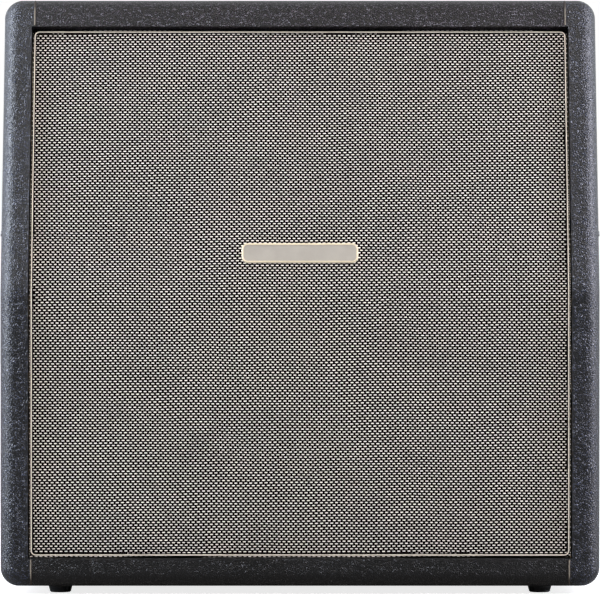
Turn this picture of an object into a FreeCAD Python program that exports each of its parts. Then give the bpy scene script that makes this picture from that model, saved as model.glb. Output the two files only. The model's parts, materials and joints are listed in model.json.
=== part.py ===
import FreeCAD, Part
import math
import os
import re
import Sketcher
from FreeCAD import Vector

# Speaker cabinet for four drivers, with a slanted upper front
# +Z is up, +X is the viewer's right and the front faces -Y; the feet stand on Z = 0

doc = FreeCAD.newDocument("speaker_cabinet")
sheet = doc.addObject("Spreadsheet::Sheet", "sizes")

# Driving sizes in millimetres, except counts, angles and shares

SIZES = [
    ("driver_diameter", 309, "driver flange"),
    ("driver_gap", 31, "between the flanges of two drivers side by side"),
    ("side_room", 24.5, "between a driver's flange and the rim at its side"),
    ("lower_room", 17.5, "below and above a lower driver's flange, up to the rim and the bend"),
    ("upper_room", 22.75, "below and above an upper driver's flange, up to the bend and the rim"),
    ("case_depth", 365, "covered box at its foot, front to back"),
    ("slant_setback", 98, "how far the top front edge lies behind the bottom one"),
    ("panel_thickness", 18, "plywood of the sides, top and bottom"),
    ("vinyl_thickness", 0.9, "covering"),
    ("corner_radius", 24, "rounding of the four edges that run front to back"),
    ("front_round", 19, "rounding of the front edges"),
    ("rear_round", 12, "rounding of the rear edges"),
    ("bend_radius", 60, "rounding of the bend in the front"),
    ("frame_width", 36, "covered rim round the grille"),
    ("grille_recess", 12, "cloth behind the front of the rim"),
    ("cloth_thickness", 1, "grille cloth"),
    ("cloth_gap", 1.4, "between the cloth's edge and the rim"),
    ("baffle_thickness", 18, "baffle plywood"),
    ("batten_depth", 20, "baffle battens, front to back"),
    ("batten_ledge", 14, "how far a baffle batten stands in past the rim"),
    ("rear_recess", 10, "rear panel's covered face inside the rear edges"),
    ("rear_panel_thickness", 15, "rear panel plywood"),
    ("rear_panel_gap", 1, "between the covered rear panel and the box"),
    ("rear_batten_width", 20, "battens that take the rear panel's screws"),
    ("cut_overrun", 30, "how far cutting shapes run past what they cut"),
    ("top_finger_count", 9, "finger widths along a top corner joint"),
    ("bottom_finger_count", 13, "finger widths along a bottom corner joint"),
    ("brace_width", 40, "centre brace, left to right"),
    ("brace_height", 50, "centre brace, bottom to top"),
    ("brace_drop", 24, "centre brace below the bend in the front"),
    ("piping_width", 2.6, "cream piping, across"),
    ("piping_height", 1.3, "cream piping, above what it lies on"),
    ("piping_round", 1.1, "rounding of the piping's outer edges"),
    ("piping_margin", 2.6, "middle of the piping from the cloth's edge"),
    ("piping_corner", 6, "corner radius of the piping loop"),
    ("seam_turn", 62, "angle the seam piping follows round the front rounding"),
    ("badge_length", 150, "badge plate"),
    ("badge_height", 26, "badge plate"),
    ("badge_corner", 8, "badge plate"),
    ("badge_thickness", 2.8, "badge plate"),
    ("badge_rim", 2.4, "raised rim of the badge plate"),
    ("badge_sink", 0.9, "how far the badge plate's middle lies below its rim"),
    ("badge_rise", 52, "badge centre above the bend, along the slant"),
    ("badge_pin_inset", 23, "pins of the badge plate from its ends"),
    ("badge_pin_diameter", 2.4, "pins of the badge plate"),
    ("badge_pin_length", 12, "pins of the badge plate"),
    ("pin_clearance", 0.2, "round the badge pins"),
    ("handle_length", 206, "handle flange, front to back"),
    ("handle_height", 124, "handle flange, bottom to top"),
    ("handle_flange", 3.2, "handle flange thickness"),
    ("handle_corner", 16, "corner radius of the handle flange"),
    ("handle_end", 19, "handle flange past the front and rear of its cup"),
    ("handle_edge", 17, "handle flange below and above its cup"),
    ("cup_depth", 50, "handle cup outside, behind the flange"),
    ("cup_corner", 12, "corner radius of the handle cup outside"),
    ("cup_wall", 3, "handle cup wall"),
    ("cup_clearance", 1, "round the cup in the panel"),
    ("grip_height", 26, "handle grip, bottom to top"),
    ("grip_thickness", 17, "handle grip, in and out"),
    ("grip_round", 6, "handle grip edges"),
    ("grip_rise", 14, "middle of the handle grip above the cup's middle"),
    ("handle_lift", 21, "handle centre above the middle of the box's height"),
    ("handle_shift", 18, "handle centre behind the middle of the box's depth"),
    ("foot_height", 10.5, "rubber foot"),
    ("foot_top_diameter", 32, "rubber foot against the box"),
    ("foot_bottom_diameter", 28, "rubber foot on the floor"),
    ("foot_round", 3, "rubber foot lower edge"),
    ("foot_recess_diameter", 12, "screw recess in the foot"),
    ("foot_recess_depth", 5, "screw recess in the foot"),
    ("foot_inset_side", 75, "foot centre from the side of the box"),
    ("foot_inset_front", 62, "foot centre from the front or rear of the box"),
    ("fit_clearance", 0.15, "between a screw and its hole in wood, all round"),
    ("screw_play", 0.3, "between a screw and its hole in metal or plastic, all round"),
    ("large_head_diameter", 11, "rear panel screws"),
    ("large_head_height", 3.2, "rear panel screws"),
    ("large_shank_diameter", 5, "rear panel screws"),
    ("large_screw_length", 32, "rear panel screws under the head"),
    ("small_head_diameter", 7.4, "handle and jack plate screws"),
    ("small_head_height", 2.4, "handle and jack plate screws"),
    ("small_shank_diameter", 3.6, "handle and jack plate screws"),
    ("small_screw_length", 13, "handle and jack plate screws under the head"),
    ("foot_head_diameter", 9, "foot screws"),
    ("foot_head_height", 3, "foot screws"),
    ("foot_shank_diameter", 4.4, "foot screws"),
    ("foot_screw_length", 18, "foot screws under the head"),
    ("driver_head_diameter", 9, "driver screws"),
    ("driver_head_height", 3, "driver screws"),
    ("driver_shank_diameter", 4.4, "driver screws"),
    ("driver_screw_length", 17, "driver screws under the head"),
    ("rear_screws_across", 4, "rear panel screws along the top and bottom"),
    ("rear_screws_up", 5, "rear panel screws along each side"),
    ("jack_drop", 61, "jack below the centre brace"),
    ("jack_plate_width", 84, "jack plate, left to right"),
    ("jack_plate_height", 58, "jack plate, bottom to top"),
    ("jack_plate_thickness", 1.5, "jack plate"),
    ("jack_plate_corner", 6, "jack plate"),
    ("jack_screw_inset", 7, "jack plate screws from the plate's edges"),
    ("jack_body_width", 20, "jack body"),
    ("jack_body_depth", 30, "jack body behind the plate"),
    ("jack_pocket_diameter", 36, "hole in the rear panel for the jack body"),
    ("bush_diameter", 9.5, "jack bush"),
    ("bush_length", 6, "jack bush in front of the jack body"),
    ("bush_clearance", 0.2, "round the jack bush"),
    ("plug_bore_diameter", 6.6, "hole for the plug"),
    ("plug_bore_depth", 31, "hole for the plug"),
    ("nut_flats", 14, "jack nut across its flats"),
    ("nut_thickness", 2.6, "jack nut"),
    ("lug_width", 3, "solder lugs of the jack"),
    ("lug_thickness", 0.8, "solder lugs of the jack"),
    ("lug_length", 9, "solder lugs of the jack"),
    ("lug_spacing", 12, "solder lugs of the jack, one from the other"),
    ("cutout_inset", 12.5, "driver hole in the baffle inside the driver's edge"),
    ("driver_screw_inset", 6, "driver screws from the driver's edge"),
    ("driver_screw_count", 4, "screws of one driver"),
    ("gasket_thickness", 2.5, "driver gasket"),
    ("gasket_lip", 1, "gasket's inner edge outside the baffle hole"),
    ("surround_thickness", 0.8, "surround"),
    ("surround_inset", 9.1, "surround inside the driver's edge"),
    ("surround_land", 6, "glued rim of the surround"),
    ("roll_width", 6.2, "width of one of the surround's two rolls"),
    ("roll_share", 0.58, "radius of a surround roll over its width"),
    ("basket_sheet", 1.6, "basket sheet steel"),
    ("flange_width", 15.5, "basket flange, from the driver's edge inwards"),
    ("basket_depth", 92, "basket behind the front of its flange"),
    ("shelf_depth", 64, "spider shelf behind the front of the flange"),
    ("shelf_outer", 70, "outer radius of the spider shelf"),
    ("shelf_inner", 60, "inner radius of the spider shelf"),
    ("basket_bore", 28, "radius of the hole in the basket's floor"),
    ("wall_slope_share", 1.45, "basket wall measured across, over its sheet"),
    ("window_margin", 11, "basket wall left between the flange and a window"),
    ("window_foot", 12, "basket wall left between a window and the spider shelf"),
    ("window_angle", 42, "width of a basket window"),
    ("window_count", 6, "basket windows"),
    ("glue_gap", 0.3, "between the cone and what carries it"),
    ("cone_thickness", 1, "cone paper"),
    ("neck_lead", 6, "cone's neck in front of the spider shelf, with the same flange for both"),
    ("former_outer", 22.4, "outer radius of the coil former"),
    ("former_thickness", 0.5, "coil former"),
    ("former_lead", 6, "coil former in front of the cone's neck"),
    ("winding_thickness", 0.8, "coil winding"),
    ("winding_length", 12, "coil winding"),
    ("cap_radius", 38, "dust cap"),
    ("cap_rise", 13, "dust cap"),
    ("cap_thickness", 0.8, "dust cap"),
    ("cap_seat", 0.1, "dust cap off the cone"),
    ("spider_thickness", 0.8, "spider"),
    ("spider_margin", 2, "spider inside the shelf's outer radius"),
    ("spider_neck", 5.6, "flat of the spider round the coil former"),
    ("spider_flat", 8, "flat of the spider inside the shelf"),
    ("spider_roll_count", 3, "rolls of the spider"),
    ("spider_roll_share", 0.75, "radius of a spider roll over its width"),
    ("gap_clearance", 0.7, "between the coil and the magnet's iron"),
    ("plate_radius", 65, "top plate and yoke"),
    ("plate_thickness", 8, "top plate and yoke"),
    ("magnet_radius", 78, "magnet ring"),
    ("magnet_bore", 30, "magnet ring"),
    ("magnet_thickness", 20, "magnet ring"),
    ("pole_lead", 1, "pole in front of the top plate"),
    ("tag_board_length", 30, "terminal board"),
    ("tag_board_width", 7.2, "terminal board"),
    ("tag_board_thickness", 2, "terminal board"),
    ("tag_board_gap", 0.6, "terminal board off the basket's lower wall"),
    ("tag_spacing", 17, "terminal tags, one from the other"),
    ("tag_width", 6.3, "terminal tags"),
    ("tag_thickness", 0.8, "terminal tags"),
    ("tag_reach", 11, "terminal tags past their board"),
    ("lead_diameter", 2.6, "wiring leads"),
    ("lead_bend", 12, "bends of the leads"),
    ("lead_drop", 26, "leads run on past the tags before their first bend"),
    ("lead_rise", 14, "lower leads run up past the tags before their first bend"),
    ("upper_lead_back", 70, "upper leads' crossing in front of the rear panel"),
    ("lower_lead_back", 110, "lower leads' crossing in front of the rear panel"),
]

for row, (alias, value, meaning) in enumerate(SIZES, 1):
    sheet.set(f"A{row}", meaning)
    sheet.set(f"B{row}", str(value))
    sheet.setAlias(f"B{row}", alias)
doc.recompute()

# Sizes that follow from the driving ones

FORMULAS = {
    "case_width": "2 * (frame_width + side_room + driver_diameter) + driver_gap",
    "kink_height": "frame_width + driver_diameter + 2 * lower_room",
    "slant_length": "frame_width + driver_diameter + 2 * upper_room",
    "slant": "asin(slant_setback / slant_length)",
    "case_height": "kink_height + slant_length * cos(slant)",
    "front_y": "-case_depth / 2",
    "rear_y": "case_depth / 2",
    "base_z": "foot_height",
    "top_z": "foot_height + case_height",
    "kink_z": "foot_height + kink_height",
    "half_bend": "tan(slant / 2)",
    "inner_x": "case_width / 2 - vinyl_thickness - panel_thickness",
    "inner_bottom": "base_z + vinyl_thickness + panel_thickness",
    "inner_top": "top_z - vinyl_thickness - panel_thickness",
    "baffle_near": "grille_recess + cloth_thickness",
    "ring_depth": "baffle_near + baffle_thickness",
    "cloth_edge": "frame_width + cloth_gap",
    "baffle_edge": "cloth_edge + cloth_thickness",
    "piping_inset": "cloth_edge + piping_margin",
    "seam_x": "case_width / 2 - piping_inset",
    "wood_edge": "frame_width - vinyl_thickness",
    "rear_face_y": "rear_y - rear_recess",
    "rear_inner_y": "rear_face_y - vinyl_thickness - rear_panel_thickness",
    "rear_half": "inner_x - 2 * vinyl_thickness - rear_panel_gap",
    "rear_low": "inner_bottom + 2 * vinyl_thickness + rear_panel_gap",
    "rear_high": "inner_top - 2 * vinyl_thickness - rear_panel_gap",
    "lower_axis_z": "base_z + (frame_width + kink_height) / 2",
    "upper_axis_s": "(slant_length - frame_width) / 2",
    "driver_spacing": "driver_diameter + driver_gap",
    "cutout_radius": "driver_diameter / 2 - cutout_inset",
    "surround_rim": "driver_diameter / 2 - surround_inset",
    "surround_outer": "surround_rim - surround_land",
    "surround_inner": "surround_outer - 2 * roll_width",
    "roll_radius": "roll_width * roll_share",
    "basket_throat": "driver_diameter / 2 - flange_width",
    "window_outer": "basket_throat - window_margin",
    "window_inner": "shelf_outer + window_foot",
    "flange_front": "gasket_thickness + surround_thickness",
    "shelf_front": "flange_front + shelf_depth",
    "base_rear": "flange_front + basket_depth",
    "wall_shift": "basket_sheet * wall_slope_share",
    "cone_rim": "surround_inner - glue_gap",
    "cone_neck": "former_outer + glue_gap",
    "cone_depth": "shelf_depth - neck_lead",
    "neck_depth": "gasket_thickness + cone_depth",
    "cone_slope": "cone_depth / (cone_rim - cone_neck)",
    "cap_depth": "gasket_thickness + (cone_rim - cap_radius) * cone_slope",
    "cap_sphere": "(cap_radius * cap_radius + cap_rise * cap_rise) / (2 * cap_rise)",
    "spider_outer": "shelf_outer - spider_margin",
    "spider_roll_start": "former_outer + spider_neck",
    "spider_roll_width": "(shelf_inner - spider_flat - spider_roll_start) / spider_roll_count",
    "spider_roll_radius": "spider_roll_width * spider_roll_share",
    "gap_middle": "base_rear + plate_thickness / 2",
    "winding_front": "gap_middle - winding_length / 2",
    "winding_rear": "gap_middle + winding_length / 2",
    "gap_bore": "former_outer + winding_thickness + gap_clearance",
    "pole_radius": "former_outer - former_thickness - gap_clearance",
    "magnet_front": "base_rear + plate_thickness",
    "yoke_front": "magnet_front + magnet_thickness",
    "board_front": "shelf_front + basket_sheet",
    "board_inner": "shelf_inner + basket_sheet + tag_board_gap",
    "tag_tip": "board_inner + tag_board_width + tag_reach",
    "brace_top": "kink_z - brace_drop",
    "jack_z": "brace_top - brace_height - jack_drop",
    "handle_z": "base_z + case_height / 2 + handle_lift",
    "cup_length": "handle_length - 2 * handle_end",
    "cup_height": "handle_height - 2 * handle_edge",
    "badge_pin_spacing": "badge_length - 2 * badge_pin_inset",
    "top_finger": "(case_depth - slant_setback) / top_finger_count",
    "bottom_finger": "case_depth / bottom_finger_count",
}

ALIASES = {alias for alias, value, meaning in SIZES}


def expand(text):
    def word(match):
        name = match.group(0)
        if name in FORMULAS:
            return "(" + expand(FORMULAS[name]) + ")"
        if name in ALIASES:
            return "sizes." + name
        return name

    return re.sub(r"[a-z][a-z_0-9]*", word, text)


def bind(thing, name, text):
    thing.setExpression(name, expand(text))


def size(text):
    result = sheet.evalExpression(expand(text))
    return float(getattr(result, "Value", result))


# Sketches and bodies

X_AXIS = Vector(1, 0, 0)
Y_AXIS = Vector(0, 1, 0)
Z_AXIS = Vector(0, 0, 1)


def new_body(label):
    return doc.addObject("PartDesign::Body", label)


def new_sketch(body, plane, label, lift=None):
    sketch = body.newObject("Sketcher::SketchObject", label)
    support = [item for item in body.Origin.OriginFeatures if item.Role == plane][0]
    sketch.AttachmentSupport = [(support, "")]
    sketch.MapMode = "FlatFace"
    if lift:
        bind(sketch, "AttachmentOffset.Base.z", lift)
    return sketch


def hold(sketch, geometry, place, x_text, y_text):
    if x_text == "0":
        sketch.addConstraint(Sketcher.Constraint("PointOnObject", geometry, place, -2))
    else:
        rule = Sketcher.Constraint("DistanceX", -1, 1, geometry, place, size(x_text))
        bind(sketch, f"Constraints[{sketch.addConstraint(rule)}]", x_text)
    if y_text == "0":
        sketch.addConstraint(Sketcher.Constraint("PointOnObject", geometry, place, -1))
    else:
        rule = Sketcher.Constraint("DistanceY", -1, 1, geometry, place, size(y_text))
        bind(sketch, f"Constraints[{sketch.addConstraint(rule)}]", y_text)


def draw(sketch, points):
    # A point is (x, y), or (x, y, radius, side) when an arc leads from it to the next one
    corners = [Vector(size(point[0]), size(point[1]), 0) for point in points]
    ends = []
    for index, point in enumerate(points):
        start = corners[index]
        stop = corners[(index + 1) % len(points)]
        if len(point) == 2:
            geometry = sketch.addGeometry(Part.LineSegment(start, stop), False)
            ends.append((geometry, 1, 2))
            continue
        radius = size(point[2])
        chord = stop - start
        across = Vector(-chord.y, chord.x, 0) * (1 / chord.Length)
        rise = math.sqrt(radius ** 2 - (chord.Length / 2) ** 2)
        centre = (start + stop) * 0.5 - across * (rise * point[3])
        first = math.atan2(start.y - centre.y, start.x - centre.x)
        last = math.atan2(stop.y - centre.y, stop.x - centre.x)
        circle = Part.Circle(centre, Z_AXIS, radius)
        if point[3] > 0:
            geometry = sketch.addGeometry(Part.ArcOfCircle(circle, last, first), False)
            ends.append((geometry, 2, 1))
        else:
            geometry = sketch.addGeometry(Part.ArcOfCircle(circle, first, last), False)
            ends.append((geometry, 1, 2))
    for index, (geometry, start, stop) in enumerate(ends):
        following = ends[(index + 1) % len(ends)]
        sketch.addConstraint(Sketcher.Constraint("Coincident", geometry, stop, following[0], following[1]))
    for index, (geometry, start, stop) in enumerate(ends):
        hold(sketch, geometry, start, points[index][0], points[index][1])
        if len(points[index]) > 2:
            rule = Sketcher.Constraint("Radius", geometry, size(points[index][2]))
            bind(sketch, f"Constraints[{sketch.addConstraint(rule)}]", points[index][2])


def draw_circle(sketch, x_text, y_text, radius_text):
    centre = Vector(size(x_text), size(y_text), 0)
    geometry = sketch.addGeometry(Part.Circle(centre, Z_AXIS, size(radius_text)), False)
    if x_text == "0" and y_text == "0":
        sketch.addConstraint(Sketcher.Constraint("Coincident", geometry, 3, -1, 1))
    else:
        hold(sketch, geometry, 3, x_text, y_text)
    rule = Sketcher.Constraint("Radius", geometry, size(radius_text))
    bind(sketch, f"Constraints[{sketch.addConstraint(rule)}]", radius_text)


def rectangle(half_x, half_y):
    return [
        (f"-({half_x})", f"-({half_y})"),
        (half_x, f"-({half_y})"),
        (half_x, half_y),
        (f"-({half_x})", half_y),
    ]


def rounded_rectangle(half_x, half_y, radius):
    return [
        (f"{half_x} - ({radius})", f"-({half_y})", radius, -1),
        (half_x, f"{radius} - ({half_y})"),
        (half_x, f"{half_y} - ({radius})", radius, -1),
        (f"{half_x} - ({radius})", half_y),
        (f"{radius} - ({half_x})", half_y, radius, -1),
        (f"-({half_x})", f"{half_y} - ({radius})"),
        (f"-({half_x})", f"{radius} - ({half_y})", radius, -1),
        (f"{radius} - ({half_x})", f"-({half_y})"),
    ]


def pad(body, sketch, length, label, middle=False, back=False):
    feature = body.newObject("PartDesign::Pad", label)
    feature.Profile = sketch
    bind(feature, "Length", length)
    feature.Midplane = middle
    feature.Reversed = back
    doc.recompute()
    return feature


def pocket(body, sketch, length, label, back=False):
    feature = body.newObject("PartDesign::Pocket", label)
    feature.Profile = sketch
    bind(feature, "Length", length)
    feature.Reversed = back
    doc.recompute()
    return feature


def revolve(body, sketch, label):
    feature = body.newObject("PartDesign::Revolution", label)
    feature.Profile = sketch
    feature.ReferenceAxis = (sketch, ["V_Axis"])
    feature.Angle = 360
    doc.recompute()
    return feature


def polar(body, feature, count, label):
    pattern = body.newObject("PartDesign::PolarPattern", label)
    pattern.Originals = [feature]
    axis = [item for item in body.Origin.OriginFeatures if item.Role == "Z_Axis"][0]
    pattern.Axis = (axis, [""])
    pattern.Angle = 360
    bind(pattern, "Occurrences", count)
    body.Tip = pattern
    doc.recompute()
    return pattern


def fillet(body, feature, test, radius, label):
    names = [f"Edge{index}" for index, edge in enumerate(feature.Shape.Edges, 1) if test(edge)]
    rounding = body.newObject("PartDesign::Fillet", label)
    rounding.Base = (feature, names)
    bind(rounding, "Radius", radius)
    doc.recompute()
    return rounding


STRAIGHT_SHARE = 0.0001


def runs_along(edge, axis):
    if len(edge.Vertexes) < 2 or edge.Curve.TypeId != "Part::GeomLine":
        return False
    step = edge.Vertexes[1].Point - edge.Vertexes[0].Point
    return abs(abs(step.dot(axis)) - step.Length) < step.Length * STRAIGHT_SHARE


def samples(edge):
    first, last = edge.ParameterRange
    return [edge.valueAt(first + (last - first) * step / 4) for step in range(5)]


NEAR_SHARE = 0.05
NEAR = size("vinyl_thickness") * NEAR_SHARE


# Shapes made from Part objects

def block(label, x_low, x_high, y_low, y_high, z_low, z_high):
    shape = doc.addObject("Part::Box", label)
    bind(shape, "Length", f"({x_high}) - ({x_low})")
    bind(shape, "Width", f"({y_high}) - ({y_low})")
    bind(shape, "Height", f"({z_high}) - ({z_low})")
    bind(shape, "Placement.Base.x", x_low)
    bind(shape, "Placement.Base.y", y_low)
    bind(shape, "Placement.Base.z", z_low)
    return shape


def cut(label, base, tool):
    result = doc.addObject("Part::Cut", label)
    result.Base = base
    result.Tool = tool
    doc.recompute()
    return result


def common(label, base, tool):
    result = doc.addObject("Part::Common", label)
    result.Base = base
    result.Tool = tool
    doc.recompute()
    return result


def fuse(label, shapes):
    result = doc.addObject("Part::MultiFuse", label)
    result.Shapes = shapes
    doc.recompute()
    return result


def group(label, shapes):
    result = doc.addObject("Part::Compound", label)
    result.Links = shapes
    doc.recompute()
    return result


def coded(label, shape):
    result = doc.addObject("Part::Feature", label)
    result.Shape = shape
    return result


def drill(label, places, diameter, length):
    radius = size(diameter) / 2
    holes = [Part.makeCylinder(radius, size(length), point, way) for point, way in places]
    return coded(label, Part.makeCompound(holes))


def screws(label, places, kind):
    head_radius = size(f"{kind}_head_diameter") / 2
    head_height = size(f"{kind}_head_height")
    shank_radius = size(f"{kind}_shank_diameter") / 2
    length = size(f"{kind}_screw_length")
    tip_radius = shank_radius / 4
    crown_radius = head_radius - head_height / 2
    outline = Part.makePolygon([
        Vector(0, 0, -head_height),
        Vector(crown_radius, 0, -head_height),
        Vector(head_radius, 0, -head_height / 2),
        Vector(head_radius, 0, 0),
        Vector(shank_radius, 0, 0),
        Vector(shank_radius, 0, length - shank_radius),
        Vector(tip_radius, 0, length),
        Vector(0, 0, length),
        Vector(0, 0, -head_height),
    ])
    screw = Part.Face(outline).revolve(Vector(0, 0, 0), Z_AXIS, 360)
    pieces = []
    for point, way in places:
        piece = screw.copy()
        piece.Placement = FreeCAD.Placement(point, FreeCAD.Rotation(Z_AXIS, way))
        pieces.append(piece)
    return coded(label, Part.makeCompound(pieces))


NODES = []


def keep(thing, label, solids=1):
    thing.Label = label
    NODES.append((thing, label, solids))


# Layers of the bent front: they lie between two depths behind the rim and stop short of the box's edges

def layer(label, near, far, edge):
    def low(depth):
        return (f"front_y + ({depth})", f"base_z + ({edge})")

    def bend(depth):
        return (f"front_y + ({depth})", f"kink_z - ({depth}) * half_bend")

    def high(depth):
        along = f"(slant_length - ({edge}))"
        return (f"front_y + {along} * sin(slant) + ({depth}) * cos(slant)",
                f"kink_z + {along} * cos(slant) - ({depth}) * sin(slant)")

    body = new_body(label)
    sketch = new_sketch(body, "YZ_Plane", label + "_outline")
    draw(sketch, [low(near), low(far), bend(far), high(far), high(near), bend(near)])
    feature = pad(body, sketch, f"case_width - 2 * ({edge})", label + "_width", middle=True)
    for depth, name in ((near, "_front_bend"), (far, "_rear_bend")):
        if size(f"bend_radius - ({depth})") < size("vinyl_thickness"):
            continue
        spot = Vector(0, size(bend(depth)[0]), size(bend(depth)[1]))

        def at_bend(edge_found):
            return runs_along(edge_found, X_AXIS) and (edge_found.CenterOfMass - spot).Length < NEAR

        feature = fillet(body, feature, at_bend, f"bend_radius - ({depth})", label + name)
    return body


def depth_behind_rim(point):
    centre_y = size("front_y + bend_radius")
    centre_z = size("kink_z - bend_radius * half_bend")
    turn = math.radians(size("slant"))
    away = Vector(0, point.y - centre_y, point.z - centre_z)
    if away.z <= 0:
        return size("bend_radius") + away.y
    if math.atan2(away.z, -away.y) < turn:
        return size("bend_radius") - away.Length
    return size("bend_radius") + away.y * math.cos(turn) - away.z * math.sin(turn)


# The rounded box, once at the covering's outside and once at the wood's

def rounded_box(label, inset):
    top_front = f"front_y + tan(slant) * (top_z - ({inset}) - kink_z) + ({inset}) / cos(slant)"
    body = new_body(label)
    sketch = new_sketch(body, "YZ_Plane", label + "_profile")
    draw(sketch, [
        (f"front_y + ({inset})", f"base_z + ({inset})"),
        (f"front_y + ({inset})", f"kink_z - ({inset}) * half_bend"),
        (top_front, f"top_z - ({inset})"),
        (f"rear_y - ({inset})", f"top_z - ({inset})"),
        (f"rear_y - ({inset})", f"base_z + ({inset})"),
    ])
    feature = pad(body, sketch, f"case_width - 2 * ({inset})", label + "_width", middle=True)
    kink = size(f"kink_z - ({inset}) * half_bend")

    def at_kink(edge):
        return runs_along(edge, X_AXIS) and abs(edge.CenterOfMass.z - kink) < NEAR

    def front_to_back(edge):
        return runs_along(edge, Y_AXIS)

    def round_the_front(edge):
        middle_height = abs(edge.CenterOfMass.z - kink) < size("bend_radius")
        if middle_height and runs_along(edge, X_AXIS):
            return False
        return all(abs(depth_behind_rim(point) - size(inset)) < NEAR for point in samples(edge))

    def round_the_rear(edge):
        return all(abs(point.y - size(f"rear_y - ({inset})")) < NEAR for point in samples(edge))

    feature = fillet(body, feature, at_kink, f"bend_radius - ({inset})", label + "_bend")
    feature = fillet(body, feature, front_to_back, f"corner_radius - ({inset})", label + "_corners")
    feature = fillet(body, feature, round_the_front, f"front_round - ({inset})", label + "_front")
    feature = fillet(body, feature, round_the_rear, f"rear_round - ({inset})", label + "_rear")
    return body


covered_box = rounded_box("covered_box", "0 * vinyl_thickness")
wood_box = rounded_box("wood_box", "vinyl_thickness")

# Hollows of the box: the front opening, the room behind it and the rear opening

covered_opening = layer("covered_opening", "-cut_overrun", "ring_depth", "frame_width")
wood_opening = layer("wood_opening", "-cut_overrun", "ring_depth", "wood_edge")

room = new_body("room")
room_sketch = new_sketch(room, "YZ_Plane", "room_outline")
draw(room_sketch, [
    ("front_y + ring_depth", "inner_bottom"),
    ("front_y + ring_depth", "kink_z - ring_depth * half_bend"),
    ("front_y + tan(slant) * (inner_top - kink_z) + ring_depth / cos(slant)", "inner_top"),
    ("rear_inner_y", "inner_top"),
    ("rear_inner_y", "inner_bottom"),
])
room_width = pad(room, room_sketch, "2 * inner_x", "room_width", middle=True)


def at_room_bend(edge):
    height = size("kink_z - ring_depth * half_bend")
    return runs_along(edge, X_AXIS) and abs(edge.CenterOfMass.z - height) < NEAR


fillet(room, room_width, at_room_bend, "bend_radius - ring_depth", "room_bend")

wood_rear = block("wood_rear", "-inner_x", "inner_x", "rear_inner_y", "rear_y + cut_overrun",
                  "inner_bottom", "inner_top")
covered_rear = block("covered_rear", "vinyl_thickness - inner_x", "inner_x - vinyl_thickness",
                     "rear_inner_y", "rear_y + cut_overrun",
                     "inner_bottom + vinyl_thickness", "inner_top - vinyl_thickness")

wood_shell = cut("wood_shell", wood_box, fuse("wood_hollow", [wood_opening, room, wood_rear]))
covered_shell = cut("covered_shell", covered_box,
                    fuse("covered_hollow", [covered_opening, room, covered_rear]))
covering = cut("covering", covered_shell, wood_shell)

# Side handles: a moulded cup with a flange and a grip across its mouth

HANDLE_TURN = {
    "right": "rotation(vector(1; 1; 1); 120 deg)",
    "left": "rotation(vector(-1; 1; 1); 240 deg)",
}
SIDES = {"left": "-1", "right": "1"}


def make_handle(side):
    label = side + "_handle"
    body = new_body(label)
    sketch = new_sketch(body, "XY_Plane", label + "_flange_outline")
    draw(sketch, rounded_rectangle("handle_length / 2", "handle_height / 2", "handle_corner"))
    feature = pad(body, sketch, "handle_flange", label + "_flange")

    def flange_rim(edge):
        return all(abs(point.z - size("handle_flange")) < NEAR for point in samples(edge))

    feature = fillet(body, feature, flange_rim, "handle_flange / 2", label + "_flange_rounding")
    sketch = new_sketch(body, "XY_Plane", label + "_cup_outline")
    draw(sketch, rounded_rectangle("cup_length / 2", "cup_height / 2", "cup_corner"))
    feature = pad(body, sketch, "cup_depth", label + "_cup", back=True)

    def cup_floor(edge):
        return all(abs(point.z + size("cup_depth")) < NEAR for point in samples(edge))

    feature = fillet(body, feature, cup_floor, "cup_corner - cup_wall", label + "_cup_floor")
    sketch = new_sketch(body, "XY_Plane", label + "_mouth_outline", lift="handle_flange")
    draw(sketch, rounded_rectangle("cup_length / 2 - cup_wall", "cup_height / 2 - cup_wall",
                                   "(cup_corner - cup_wall)"))
    feature = pocket(body, sketch, "handle_flange + cup_depth - cup_wall", label + "_mouth")

    def mouth_floor(edge):
        return all(abs(point.z + size("cup_depth - cup_wall")) < NEAR for point in samples(edge))

    feature = fillet(body, feature, mouth_floor, "cup_corner - 2 * cup_wall", label + "_mouth_floor")

    sketch = new_sketch(body, "YZ_Plane", label + "_grip_outline")
    low = "grip_rise - grip_height / 2"
    high = "grip_rise + grip_height / 2"
    draw(sketch, [(low, "handle_flange - grip_thickness"), (high, "handle_flange - grip_thickness"),
                  (high, "handle_flange"), (low, "handle_flange")])
    feature = pad(body, sketch, "cup_length - cup_wall", label + "_grip", middle=True)

    def grip_edge(edge):
        at_grip = abs(abs(edge.CenterOfMass.y - size("grip_rise")) - size("grip_height / 2")) < NEAR
        across = edge.Length > size("cup_length / 2")
        return runs_along(edge, X_AXIS) and at_grip and across

    fillet(body, feature, grip_edge, "grip_round", label + "_grip_rounding")
    bind(body, "Placement", f"placement(vector({SIDES[side]} * case_width / 2; handle_shift; handle_z); "
                            f"{HANDLE_TURN[side]})")
    doc.recompute()
    return body


def cup_hole(side):
    label = side + "_cup_hole"
    body = new_body(label)
    sketch = new_sketch(body, "XY_Plane", label + "_outline")
    draw(sketch, rounded_rectangle("cup_length / 2 + cup_clearance", "cup_height / 2 + cup_clearance",
                                   "(cup_corner + cup_clearance)"))
    pad(body, sketch, "panel_thickness + 2 * cut_overrun", label + "_depth", middle=True)
    bind(body, "Placement", f"placement(vector({SIDES[side]} * case_width / 2; handle_shift; handle_z); "
                            f"{HANDLE_TURN[side]})")
    doc.recompute()
    return body


def handle_screw_places(side):
    sign = int(SIDES[side])
    places = []
    for along in (-1, 1):
        for up in (-1, 1):
            reach = size("(handle_length + cup_length) / 4") * along
            rise = size("(handle_height + cup_height) / 4") * up
            point = Vector(sign * size("case_width / 2 + handle_flange"),
                           size("handle_shift") + reach, size("handle_z") + rise)
            places.append((point, Vector(-sign, 0, 0)))
    return places


def shifted(places, distance):
    return [(point + way * distance, way) for point, way in places]


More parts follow.
